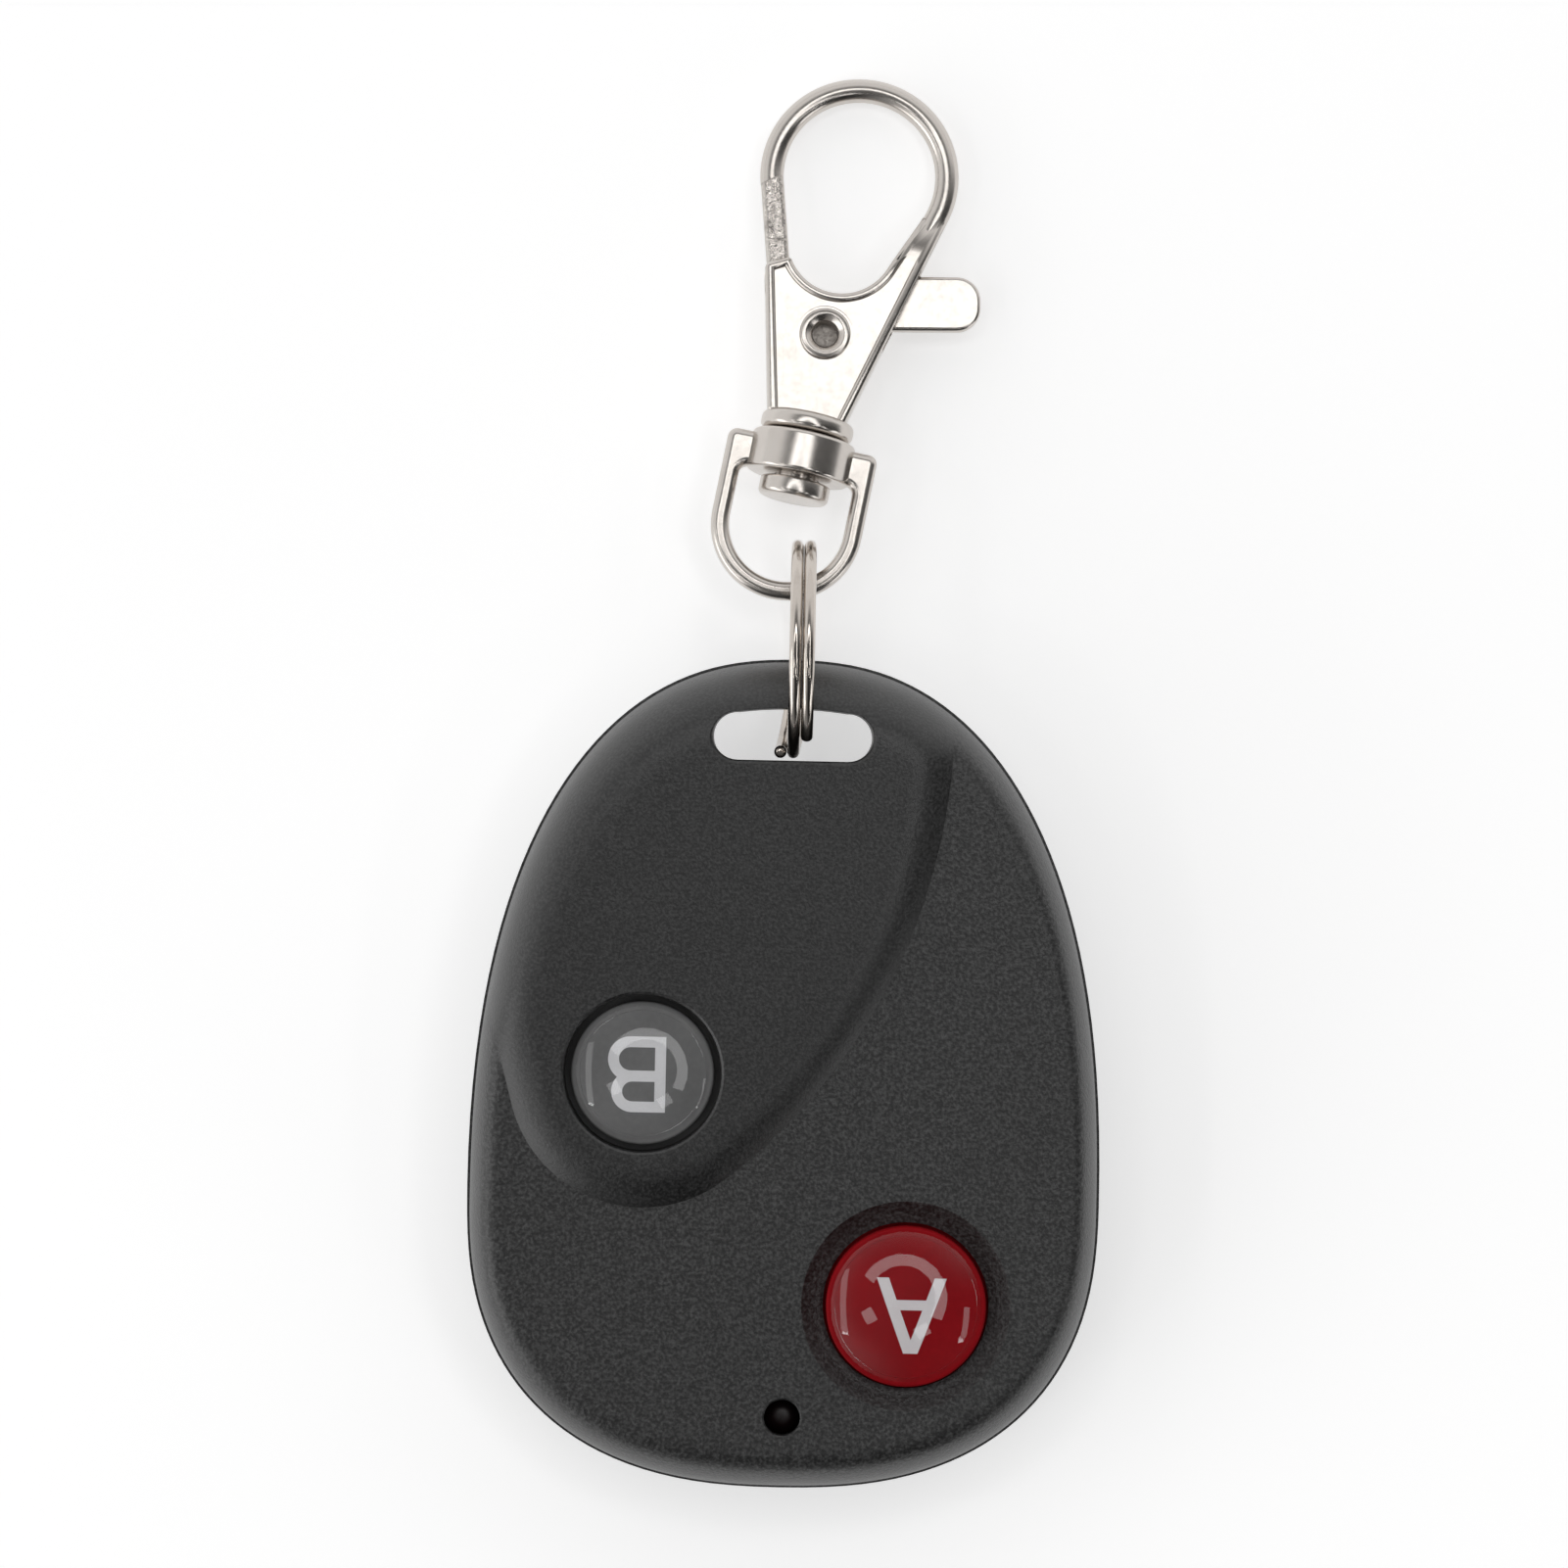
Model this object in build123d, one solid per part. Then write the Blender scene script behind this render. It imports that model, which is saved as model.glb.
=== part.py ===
from build123d import *
import math
import os

# Wireless remote control on a split ring with a swivel clasp, in millimetres.
# It lies on its back: +Z is up out of the buttons, +Y points to the keyring end,
# and the origin is the middle of the flat rest face.

# Case outline: an egg, one superellipse half on each side of its widest line
case_length = 60.0
case_width = 45.8
case_thickness = 13.4
blunt_reach = 20.85
ring_end_exponent = 2.34
blunt_end_exponent = 2.43
outline_points = 28
flank_sections = 5

# Case shells: they part at parting_height, and the front one is drawn in by a reveal
parting_height = 7.0
wall = 1.3
front_reveal = 0.2
lip_height = 1.0
lip_thickness = 0.8
lip_clearance = 0.1
rebate_wall = 0.8

# Flanks: an elliptical arc from the parting line, swept by an angle, and how far it draws in
front_sweep = 62.7
front_side_inset = 2.6
front_ring_inset = 3.5
front_blunt_inset = 3.6
rear_sweep = 73.5
rear_side_inset = 6.0
rear_ring_inset = 14.5
rear_blunt_inset = 8.6
rear_ring_roundness = 0.7

# Leaf-shaped plateau: a round end about button B that runs into one long arc
plateau_step = 1.2
plateau_slope_run = 2.4
plateau_end_radius = 9.65
plateau_long_radius = 41.8
plateau_blend_angle = -51.5
plateau_leaving_angle = 195.0

# Keyring slot, with a straight inner edge and a slightly arched outer one
slot_length = 11.55
slot_width = 3.5
slot_end_wall = 3.85
slot_arch = 0.27
slot_corner_run = 1.85
slot_wall = 1.5

# Button A stands proud in a round dish; button B sits in a plain hole in the plateau
button_a_place = (8.95, -16.2)
button_a_cap_radius = 5.72
button_a_rim_height = 12.85
button_a_dome_rise = 1.15
dish_radius = 7.5
dish_depth = 0.8
dish_sag = 0.22
button_b_place = (-10.25, 0.1)
button_b_cap_radius = 5.12
button_b_rim_height = 12.55
button_b_dome_rise = 0.95
button_a_hole_clearance = 0.23
button_b_hole_clearance = 0.48
cap_rim_width = 0.32
cap_edge_chamfer = 0.12
cap_switch_clearance = 0.15
cap_top_thickness = 1.0
cap_flange_reach = 0.55
cap_flange_thickness = 0.75
cap_flange_gap = 0.15
print_recess = 0.06
cap_boss_radius = 1.5

# Tact switches under the caps
switch_side = 6.0
switch_body_height = 3.5
switch_height = 4.3
plunger_radius = 1.75
plunger_clearance = 0.05
plunger_foot_radius = 2.2
plunger_foot_thickness = 0.4
plunger_foot_depth = 1.1
switch_travel = 0.3
switch_lead_size = (1.1, 0.7, 0.3)
switch_lead_pitch = 4.5

# Circuit board and what it carries
board_top = 6.4
board_thickness = 1.0
board_inset = 3.0
board_ring_edge = 5.0
led_offset = 0.25
led_end_distance = 5.6
led_radius = 1.5
led_rim_radius = 1.85
led_rim_thickness = 0.5
led_height = 4.1
led_window_radius = 1.3
encoder_place = (-1.2, -8.4)
encoder_size = (8.7, 3.9, 1.5)
encoder_lead_count = 7
encoder_lead_pitch = 1.27
encoder_lead_reach = 1.05
saw_place = (2.6, -0.2)
saw_radius = 4.2
saw_height = 2.8
saw_brim_radius = 4.6
saw_brim_thickness = 0.4
transistor_place = (14.6, -6.4)
transistor_size = (2.9, 1.3, 1.0)
coil_place = (-3.2, -16.6)
coil_radius = 1.6
coil_wire = 0.4
coil_pitch = 0.85
coil_turns = 4
chip_size = (1.6, 0.8, 0.5)
chip_places = (
    (-6.6, -19.4),
    (-8.6, -21.4),
    (-4.0, -21.6),
    (12.4, -8.2),
    (15.2, -3.6),
    (-3.6, -3.2),
)

# Battery: 12 V, across the case beside the board, between two contact plates
battery_radius = 4.0
battery_length = 28.2
battery_y = 9.6
battery_z = 6.7
battery_nub_radius = 1.4
battery_nub_height = 0.4
battery_bed_clearance = 0.1
battery_bed_offset = 8.0
battery_bed_width = 1.2
battery_bed_height = 4.7
plate_thickness = 0.4
plate_width = 5.2
plate_bottom = 4.0
plate_top = 9.4
plate_tab_width = 1.6
plate_tab_overlap = 0.7
plate_seat_thickness = 1.0
plate_seat_width = 4.0
plate_seat_height = 5.4
plate_room_clearance = 0.1
contact_spring_radius = 2.0
contact_spring_wire = 0.5
contact_spring_pitch = 0.95
contact_spring_turns = 1.5

# Two self-tapping screws from the back clamp the board between bosses
screw_places = ((-11.2, -14.6), (12.0, 1.8))
screw_radius = 0.98
screw_bite_clearance = 0.02
screw_hole_clearance = 0.2
screw_head_radius = 1.9
screw_head_height = 1.2
screw_head_depth = 1.9
screw_head_clearance = 0.2
screw_length = 7.0
screw_slot_width = 0.5
screw_slot_depth = 0.6
screw_tip_room = 0.4
rear_boss_radius = 2.8
front_boss_radius = 2.2

# Split ring: two turns of round wire through the slot, with one end standing beside them
ring_radius = 7.45
ring_wire = 0.9
ring_turn_gap = 0.45
ring_slot_clearance = 0.2
ring_centre_x = 0.5
ring_centre_z = 8.4
ring_short_of_two_turns = 31.0

# Swivel: a loop with a collar, in which the hook's stud turns
clasp_heading = 10.5
clasp_pitch = 6.0
clasp_offset = 0.12
clasp_reach_past_ring = 6.15
clasp_floor_gap = 0.05
collar_radius = 3.8
collar_height = 3.0
collar_edge_radius = 0.25
stud_radius = 1.6
stud_clearance = 0.05
stud_head_radius = 2.4
stud_head_thickness = 1.35
stud_head_gap = 0.3
stud_head_edge = 0.2
flange_radius = 3.42
flange_thickness = 1.4
flange_gap = 0.15
flange_edge_radius = 0.55
loop_half_width = 5.55
loop_bar = 1.35
loop_depth = 1.6
loop_reach = 10.6
shoulder_top = 1.2
shoulder_bottom = -1.4
shoulder_corner_radius = 0.7
loop_edge_radius = 0.3

# Hook: a round eye, a straight strand and a flat body that the lever is riveted into
eye_centre_v = 21.3
eye_radius = 6.42
eye_wire = 1.75
strand_angle = 15.0
nose_angle = 194.0
throat_centre = (-0.3, 16.1)
throat_radius = 3.9
body_base_left = -3.05
body_base_right = 2.7
body_left_top = (-5.45, 13.3)
body_right_top = (6.35, 17.0)
body_thickness = 3.6
body_edge_radius = 0.35
face_recess = 0.3
face_rim = 0.95
lever_slot_width = 2.2
lever_slot_clearance = 0.15
left_wall = 0.75
left_wall_end = 2.2

# Lever: gate and thumb tab in one piece on a hollow rivet, with a wire spring beside it
rivet_place = (-0.11, 9.1)
rivet_radius = 1.5
rivet_bore_radius = 1.0
rivet_head_radius = 1.93
rivet_head_thickness = 0.35
rivet_seat_clearance = 0.01
lever_clearance = 0.04
lever_thickness = 1.1
lever_side_gap = 0.15
lever_hub_radius = 2.35
gate_foot = (-4.5, 13.6)
gate_width = 1.7
gate_joint = (-6.23, 19.75)
gate_joint_angle = 35.5
gate_joint_gap = 0.12
gate_edge_radius = 0.4
tab_root = (3.2, 12.36)
tab_tip = (10.6, 13.86)
tab_width = 4.05
tab_corner_radius = 1.6
tab_drop = 18.0
clasp_spring_wire = 0.5
clasp_spring_radius = 2.0
clasp_spring_gate_leg = 3.2
clasp_spring_body_leg = 2.2

# Sizes that follow from the ones above
front_depth = case_thickness - parting_height
lower_height = case_thickness - plateau_step
ceiling = lower_height - wall
widest_y = blunt_reach - case_length / 2
ring_reach = case_length - blunt_reach
slot_outer_edge = case_length / 2 - slot_end_wall
slot_inner_edge = slot_outer_edge - slot_width
led_place = (led_offset, led_end_distance - case_length / 2)
board_bottom = board_top - board_thickness
switch_body_top = board_top + switch_body_height
plunger_top = board_top + switch_height
cap_flange_top = ceiling - cap_flange_gap
button_a_hole_radius = button_a_cap_radius + button_a_hole_clearance
button_b_hole_radius = button_b_cap_radius + button_b_hole_clearance
ring_centre_y = slot_inner_edge + ring_slot_clearance + ring_radius + ring_wire / 2
clasp_origin = (clasp_offset, ring_centre_y + ring_radius + ring_wire / 2 + clasp_reach_past_ring)
collar_low_point = collar_radius * math.cos(math.radians(clasp_pitch)) + collar_height / 2 * math.sin(
    math.radians(clasp_pitch)
)
clasp_height = collar_low_point + clasp_floor_gap
flange_base = collar_height / 2 + flange_gap
flange_top = flange_base + flange_thickness
stud_head_top = -collar_height / 2 - stud_head_gap
far = 2 * case_length


def outline_face(height, side, ring, blunt):
    """Egg outline at a height, drawn in at its sides, its ring end and its blunt end."""
    points = []
    for step in range(outline_points):
        angle = 2 * math.pi * step / outline_points
        across, along = math.cos(angle), math.sin(angle)
        towards_ring = along >= 0
        power = 2 / (ring_end_exponent if towards_ring else blunt_end_exponent)
        reach = ring_reach - ring if towards_ring else blunt_reach - blunt
        x = (case_width / 2 - side) * math.copysign(abs(across) ** power, across)
        y = widest_y + reach * math.copysign(abs(along) ** power, along)
        points.append((x, y, height))
    return Face(Wire(Spline(points, periodic=True)))


def flank_form(direction, full_depth, sweep, insets, thickness, depth):
    """Case form from the parting plane up or down to a depth, or its hollow at a wall thickness.

    Each inset has its value at the parting plane, how much it grows, and how round its flank is.
    """
    semi_axis = full_depth / math.sin(math.radians(sweep))
    full_draw = 1 - math.cos(math.radians(sweep))
    first = math.asin(thickness / semi_axis)
    last = math.asin((depth + thickness) / semi_axis)
    sections = []
    for step in range(flank_sections + 1):
        angle = first + (last - first) * step / flank_sections
        share = (1 - math.cos(angle)) / full_draw
        height = parting_height + direction * (semi_axis * math.sin(angle) - thickness)
        side, ring, blunt = (base + thickness + inset * share**round_power for base, inset, round_power in insets)
        sections.append(outline_face(height, side, ring, blunt))
    return loft(sections)


def front_form(thickness, depth):
    """Outer form of the front cover, or its hollow."""
    insets = (
        (front_reveal, front_side_inset, 1),
        (front_reveal, front_ring_inset, 1),
        (front_reveal, front_blunt_inset, 1),
    )
    return flank_form(1, front_depth, front_sweep, insets, thickness, depth)


def rear_form(thickness, depth):
    """Outer form of the rear cover, or its hollow."""
    insets = ((0, rear_side_inset, 1), (0, rear_ring_inset, rear_ring_roundness), (0, rear_blunt_inset, 1))
    return flank_form(-1, parting_height, rear_sweep, insets, thickness, depth)


def block(x_range, y_range, z_range):
    """Box between low and high values on each axis."""
    size = [high - low for low, high in (x_range, y_range, z_range)]
    middle = [(low + high) / 2 for low, high in (x_range, y_range, z_range)]
    return Pos(*middle) * Box(*size)


def post(place, radius, low, high):
    """Upright cylinder at a place in plan, between two heights."""
    return Pos(place[0], place[1], (low + high) / 2) * Cylinder(radius, high - low)


def hollow_side():
    """The half of the case that is hollow: everything short of the wall behind the slot."""
    return block((-far, far), (-far, slot_inner_edge - slot_wall), (-far, far))


def slot_cutter():
    """Prism of the keyring slot, through the whole case."""
    end = slot_length / 2
    run = end - slot_corner_run
    middle = (slot_inner_edge + slot_outer_edge) / 2
    edges = [
        Line((-run, slot_inner_edge), (run, slot_inner_edge)),
        ThreePointArc((run, slot_inner_edge), (end, middle), (run, slot_outer_edge)),
        ThreePointArc((run, slot_outer_edge), (0, slot_outer_edge + slot_arch), (-run, slot_outer_edge)),
        ThreePointArc((-run, slot_outer_edge), (-end, middle), (-run, slot_inner_edge)),
    ]
    return extrude(Pos(0, 0, -1) * Face(Wire(edges)), case_thickness + 2, dir=(0, 0, 1))


def outline_prism(inset, low, high):
    """Upright prism of the case outline, drawn in by an inset, between two heights."""
    return extrude(outline_face(low, inset, inset, inset), high - low, dir=(0, 0, 1))


def plateau_outline(inset, height):
    """Leaf outline, drawn in by an inset: round about button B, then one long arc to the ring end."""
    centre = Vector(*button_b_place)
    small = plateau_end_radius - inset
    large = plateau_long_radius - inset
    blend = Vector(1, 0).rotate(Axis.Z, plateau_blend_angle)
    leaving = Vector(1, 0).rotate(Axis.Z, plateau_leaving_angle)
    halfway = Vector(1, 0).rotate(Axis.Z, (plateau_blend_angle + plateau_leaving_angle - 360) / 2)
    large_centre = centre - blend * (plateau_long_radius - plateau_end_radius)
    top_angle = 10.0
    top = Vector(1, 0).rotate(Axis.Z, top_angle)
    middle = Vector(1, 0).rotate(Axis.Z, (top_angle + plateau_blend_angle) / 2)
    start = centre + leaving * small
    blend_point = centre + blend * small
    end = large_centre + top * large
    away = start + Vector(leaving.Y, -leaving.X) * case_width
    edges = [
        Line(away, start),
        ThreePointArc(start, centre + halfway * small, blend_point),
        ThreePointArc(blend_point, large_centre + middle * large, end),
        Line(end, (end.X, case_length)),
        Line((end.X, case_length), (-case_length, case_length)),
        Line((-case_length, case_length), away),
    ]
    return Pos(0, 0, height) * Face(Wire(edges))


def lower_region_cutter():
    """What lies above the lower region: a slab less the plateau, whose side slopes up to its shoulder."""
    steepness = plateau_slope_run / plateau_step
    below, above = 0.4, 1.0
    foot = plateau_outline(-below * steepness, lower_height - below)
    shoulder = plateau_outline(plateau_slope_run + above * steepness, case_thickness + above)
    slab = block((-far, far), (-far, far), (lower_height, case_thickness + 2 * above))
    return slab - loft([foot, shoulder], ruled=True)


def dish_cutter():
    """Round dish about button A, with a slightly hollow side."""
    hole = button_a_hole_radius
    rim = (dish_radius, lower_height)
    foot = (hole, lower_height - dish_depth)
    halfway = ((dish_radius + hole) / 2, lower_height - dish_depth / 2 - dish_sag)
    profile = Wire(
        [
            ThreePointArc((rim[0], 0, rim[1]), (halfway[0], 0, halfway[1]), (foot[0], 0, foot[1])),
            Line((foot[0], 0, foot[1]), (0, 0, foot[1])),
            Line((0, 0, foot[1]), (0, 0, case_thickness)),
            Line((0, 0, case_thickness), (rim[0], 0, case_thickness)),
            Line((rim[0], 0, case_thickness), (rim[0], 0, rim[1])),
        ]
    )
    return Pos(*button_a_place, 0) * revolve(Face(profile), Axis.Z)


def front_cover():
    """Upper shell, with its plateau, dish, holes, slot, lip and screw bosses."""
    lip_low = parting_height - lip_height
    lip_inset = rebate_wall + lip_clearance
    shell = front_form(0, front_depth) + outline_prism(lip_inset, lip_low, parting_height)
    hollows = [
        front_form(wall, ceiling - parting_height) & hollow_side(),
        outline_prism(lip_inset + lip_thickness, lip_low, parting_height) & hollow_side(),
    ]
    shell -= [lower_region_cutter()] + hollows
    shell += [post(place, front_boss_radius, board_top, ceiling) for place in screw_places]
    pilot_top = min(board_bottom + screw_length, ceiling - screw_tip_room)
    holes = [
        post(place, screw_radius + screw_bite_clearance, board_top, pilot_top) for place in screw_places
    ]
    holes.append(dish_cutter())
    holes.append(post(button_a_place, button_a_hole_radius, parting_height, case_thickness))
    holes.append(post(button_b_place, button_b_hole_radius, parting_height, case_thickness + 1))
    holes.append(post(led_place, led_window_radius, parting_height, case_thickness))
    holes.append(slot_cutter())
    return shell - holes


def battery_fittings():
    """Two beds that the battery lies on, and a seat behind each contact plate."""
    fittings = []
    for side in (-1, 1):
        bed_x = side * battery_bed_offset
        bed = block(
            (bed_x - battery_bed_width / 2, bed_x + battery_bed_width / 2),
            (battery_y - battery_radius, battery_y + battery_radius),
            (0, battery_bed_height),
        )
        fittings.append(bed - battery_clearance())
        inner = side * (contact_half_length() + plate_thickness)
        outer = inner + side * plate_seat_thickness
        seat_y = (battery_y - plate_seat_width / 2, battery_y + plate_seat_width / 2)
        fittings.append(block((min(inner, outer), max(inner, outer)), seat_y, (0, plate_seat_height)))
    return fittings


def contact_plate_rooms():
    """Room in the side walls for the two contact plates, up to the seats behind them."""
    reach = contact_half_length() + plate_thickness
    half_width = plate_width / 2 + plate_room_clearance
    return block(
        (-reach, reach),
        (battery_y - half_width, battery_y + half_width),
        (plate_bottom - plate_room_clearance, parting_height),
    )


def rear_cover():
    """Lower shell, with its rebate, slot, screw bosses, battery beds and contact seats."""
    rebate = parting_height - lip_height - lip_clearance
    hollows = [
        rear_form(wall, parting_height - wall) & hollow_side(),
        outline_prism(rebate_wall, rebate, parting_height),
        contact_plate_rooms(),
    ]
    shell = rear_form(0, parting_height) - hollows
    inside = rear_form(wall / 2, parting_height - wall / 2)
    fittings = [post(place, rear_boss_radius, 0, board_bottom) for place in screw_places]
    fittings += battery_fittings()
    shell += [fitting & inside for fitting in fittings]
    holes = [slot_cutter()]
    for place in screw_places:
        holes.append(post(place, screw_radius + screw_hole_clearance, 0, board_bottom))
        holes.append(post(place, screw_head_radius + screw_head_clearance, -1, screw_head_depth))
    return shell - holes


def cover_screws():
    """Pair of self-tapping screws, head down, each with a driver slot."""
    pair = []
    for place in screw_places:
        seat = screw_head_depth
        screw = post(place, screw_head_radius, seat - screw_head_height, seat)
        screw += post(place, screw_radius, seat, min(board_bottom + screw_length, ceiling) - 2 * screw_tip_room)
        low = seat - screw_head_height
        slot = Pos(place[0], place[1], low + screw_slot_depth / 2) * Box(
            2 * screw_head_radius + 1, screw_slot_width, screw_slot_depth
        )
        pair.append(screw - slot)
    return Compound(children=[solid for screw in pair for solid in screw.solids()])


def button_cap(place, radius, rim_height):
    """Hollow cap with a flange under the cover, a boss over its switch and a recess for the print."""
    flange_low = cap_flange_top - cap_flange_thickness
    inner = switch_side / math.sqrt(2) + cap_switch_clearance
    inner_top = rim_height - cap_top_thickness
    hole = button_a_hole_radius if radius == button_a_cap_radius else button_b_hole_radius
    crown = post(place, radius, flange_low, rim_height)
    crown = chamfer(crown.faces().sort_by(Axis.Z)[-1].edges(), cap_edge_chamfer)
    cap = crown + post(place, hole + cap_flange_reach, flange_low, cap_flange_top)
    cap -= post(place, inner, flange_low, inner_top)
    cap += post(place, cap_boss_radius, plunger_top, inner_top)
    return cap - post(place, radius - 2 * cap_rim_width, rim_height - print_recess, rim_height)


def button_dome(place, radius, rim_height, rise):
    """Clear domed lens that covers the cap inside its rim."""
    reach = radius - cap_rim_width
    curve = (reach**2 + rise**2) / (2 * rise)
    halfway = reach / 2
    sag = curve - math.sqrt(curve**2 - halfway**2)
    profile = Wire(
        [
            Line((0, 0, 0), (reach, 0, 0)),
            ThreePointArc((reach, 0, 0), (halfway, 0, rise - sag), (0, 0, rise)),
            Line((0, 0, rise), (0, 0, 0)),
        ]
    )
    return Pos(place[0], place[1], rim_height) * revolve(Face(profile), Axis.Z)


def switch_body(place):
    """Tact switch body, open at its top round the plunger, on four leads."""
    x, y = place
    half = switch_side / 2
    body = block((x - half, x + half), (y - half, y + half), (board_top, switch_body_top))
    foot_low = switch_body_top - plunger_foot_depth
    room_low = foot_low - switch_travel - plunger_clearance
    room_high = foot_low + plunger_foot_thickness + plunger_clearance
    body -= post(place, plunger_foot_radius + plunger_clearance, room_low, room_high)
    body -= post(place, plunger_radius + plunger_clearance, foot_low, switch_body_top)
    reach, width, height = switch_lead_size
    for side in (-1, 1):
        for end in (-1, 1):
            lead_x = x + side * (half + reach / 2)
            lead_y = y + end * switch_lead_pitch / 2
            body += Pos(lead_x, lead_y, board_top + height / 2) * Box(reach, width, height)
    return body


def switch_plunger(place):
    """Round plunger that the cap's boss rests on, kept in by its foot."""
    foot_low = switch_body_top - plunger_foot_depth
    foot = post(place, plunger_foot_radius, foot_low, foot_low + plunger_foot_thickness)
    return foot + post(place, plunger_radius, foot_low, plunger_top)


def circuit_board():
    """Board cut from the case outline, straight beside the battery, with two screw holes."""
    face = outline_face(board_bottom, board_inset, board_inset, board_inset)
    board = extrude(face, board_thickness, dir=(0, 0, 1))
    board &= block((-far, far), (-far, board_ring_edge), (-far, far))
    for place in screw_places:
        board -= post(place, screw_radius + screw_hole_clearance, board_bottom, board_top)
    return board


def status_led():
    """Round-headed indicator, standing on the board under its window."""
    stem_top = board_top + led_height - led_radius
    lamp = post(led_place, led_rim_radius, board_top, board_top + led_rim_thickness)
    lamp += post(led_place, led_radius, board_top, stem_top)
    return lamp + Pos(led_place[0], led_place[1], stem_top) * Sphere(led_radius)


def encoder_chip():
    """Fourteen-lead package."""
    x, y = encoder_place
    length, width, height = encoder_size
    lift = 0.1
    chip = Pos(x, y, board_top + lift + (height - lift) / 2) * Box(length, width, height - lift)
    first = x - encoder_lead_pitch * (encoder_lead_count - 1) / 2
    lead_height = height / 2
    for index in range(encoder_lead_count):
        for side in (-1, 1):
            lead_y = y + side * (width / 2 + encoder_lead_reach / 2)
            place = Pos(first + index * encoder_lead_pitch, lead_y, board_top + lead_height / 2)
            chip += place * Box(encoder_lead_pitch / 3, encoder_lead_reach, lead_height)
    return chip


def saw_resonator():
    """Round metal can with a brim."""
    can = post(saw_place, saw_radius, board_top, board_top + saw_height)
    can = fillet(can.faces().sort_by(Axis.Z)[-1].edges(), saw_brim_thickness)
    return can + post(saw_place, saw_brim_radius, board_top, board_top + saw_brim_thickness)


def rf_transistor():
    """Three-lead package."""
    x, y = transistor_place
    length, width, height = transistor_size
    body = Pos(x, y, board_top + height / 2) * Box(length, width, height)
    lead = height / 3
    for dx, side in ((-length / 3, -1), (length / 3, -1), (0, 1)):
        body += Pos(x + dx, y + side * (width + lead) / 2, board_top + lead / 2) * Box(lead, lead, lead)
    return body


def chip_passives():
    """Chip resistors and capacitors, one node of separate solids."""
    length, width, height = chip_size
    chips = [Pos(x, y, board_top + height / 2) * Box(length, width, height) for x, y in chip_places]
    return Compound(children=[chip.solid() for chip in chips])


def contact_half_length():
    """Half the distance between the two contact plates."""
    spring_length = contact_spring_pitch * contact_spring_turns + contact_spring_wire
    return (battery_length + spring_length) / 2


def battery_middle():
    """Middle of the battery on X: it stands against the plate on the left."""
    return battery_length / 2 - contact_half_length()


def battery_clearance():
    """Round room that the battery beds are cut to."""
    room = Cylinder(battery_radius + battery_bed_clearance, 2 * battery_length)
    return Pos(0, battery_y, battery_z) * Rot(0, 90, 0) * room


def battery():
    """Cylindrical cell stack with a nub at its positive end."""
    can_length = battery_length - battery_nub_height
    can = Pos(battery_nub_height / 2, 0, 0) * Rot(0, 90, 0) * Cylinder(battery_radius, can_length)
    can = fillet(can.edges(), battery_nub_height)
    nub_x = (battery_nub_height - battery_length) / 2
    nub = Pos(nub_x, 0, 0) * Rot(0, 90, 0) * Cylinder(battery_nub_radius, battery_nub_height)
    return Pos(battery_middle(), battery_y, battery_z) * (can + nub)


def contact_plate(side):
    """Flat contact at one end of the battery, with a tab soldered on the board."""
    inner = side * contact_half_length()
    outer = inner + side * plate_thickness
    x_range = (min(inner, outer), max(inner, outer))
    y_range = (battery_y - plate_width / 2, battery_y + plate_width / 2)
    tab_low = board_ring_edge - plate_tab_overlap
    plate = block(x_range, y_range, (plate_bottom, plate_top))
    return plate + block(x_range, (tab_low, y_range[0]), (board_top, board_top + plate_tab_width))


def biarc(start, start_way, end, end_way):
    """Two arcs that join two points, tangent to a direction at each."""
    chord = end - start
    ways = start_way + end_way
    fall = 2 * (1 - start_way.dot(end_way))
    along = chord.dot(ways)
    reach = (math.sqrt(along**2 + fall * chord.dot(chord)) - along) / fall
    joint = (start + end + (start_way - end_way) * reach) / 2
    joint_way = chord - ways * reach
    return [
        TangentArc([start, joint], tangent=start_way),
        TangentArc([joint, end], tangent=joint_way),
    ]


def wound_wire(name, stations, diameter):
    """Wire swept through stations a quarter turn or less apart; prints its least gap to itself."""
    edges = []
    for (start, start_way), (end, end_way) in zip(stations, stations[1:]):
        edges += biarc(start, start_way, end, end_way)
    path = Wire(edges)
    samples = 60 * len(stations)
    points = [path @ (index / samples) for index in range(samples + 1)]
    apart = 3 * samples // len(stations)
    gap = min(
        (points[later] - points[earlier]).length
        for earlier in range(samples)
        for later in range(earlier + apart, samples + 1)
    )
    print(f"{name}: least gap of the wire to itself {gap - diameter:.2f} mm")
    section = Plane(origin=path @ 0, z_dir=path % 0) * Circle(diameter / 2)
    return sweep(section, path=path)


def split_ring():
    """Two turns in flat loops; each passes to the next in one quarter turn."""
    pitch = ring_wire + ring_turn_gap
    quarters = 8
    total = 360.0 * 2 - ring_short_of_two_turns
    stations = []
    for index in range(quarters + 1):
        turned = min(index * 90.0, total)
        loop = -1 + (index > 0) + (index > 4)
        x = ring_centre_x + pitch * (loop - 0.5)
        angle = math.radians(180.0 + turned)
        place = Vector(x, ring_centre_y + ring_radius * math.cos(angle), ring_centre_z + ring_radius * math.sin(angle))
        way = Vector(0, -math.sin(angle), math.cos(angle))
        stations.append((place, way))
    return wound_wire("split_ring", stations, ring_wire)


def helix_stations(radius, pitch, turns, to_world):
    """Quarter-turn stations of a helix about a local Z axis, with their directions."""
    slope = pitch / (2 * math.pi * radius)
    stations = []
    for index in range(int(4 * turns) + 1):
        angle = math.pi / 2 * index
        place = Vector(radius * math.cos(angle), radius * math.sin(angle), pitch * index / 4)
        way = Vector(-math.sin(angle), math.cos(angle), slope).normalized()
        stations.append((to_world(place), to_world(place + way) - to_world(place)))
    return stations


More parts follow.
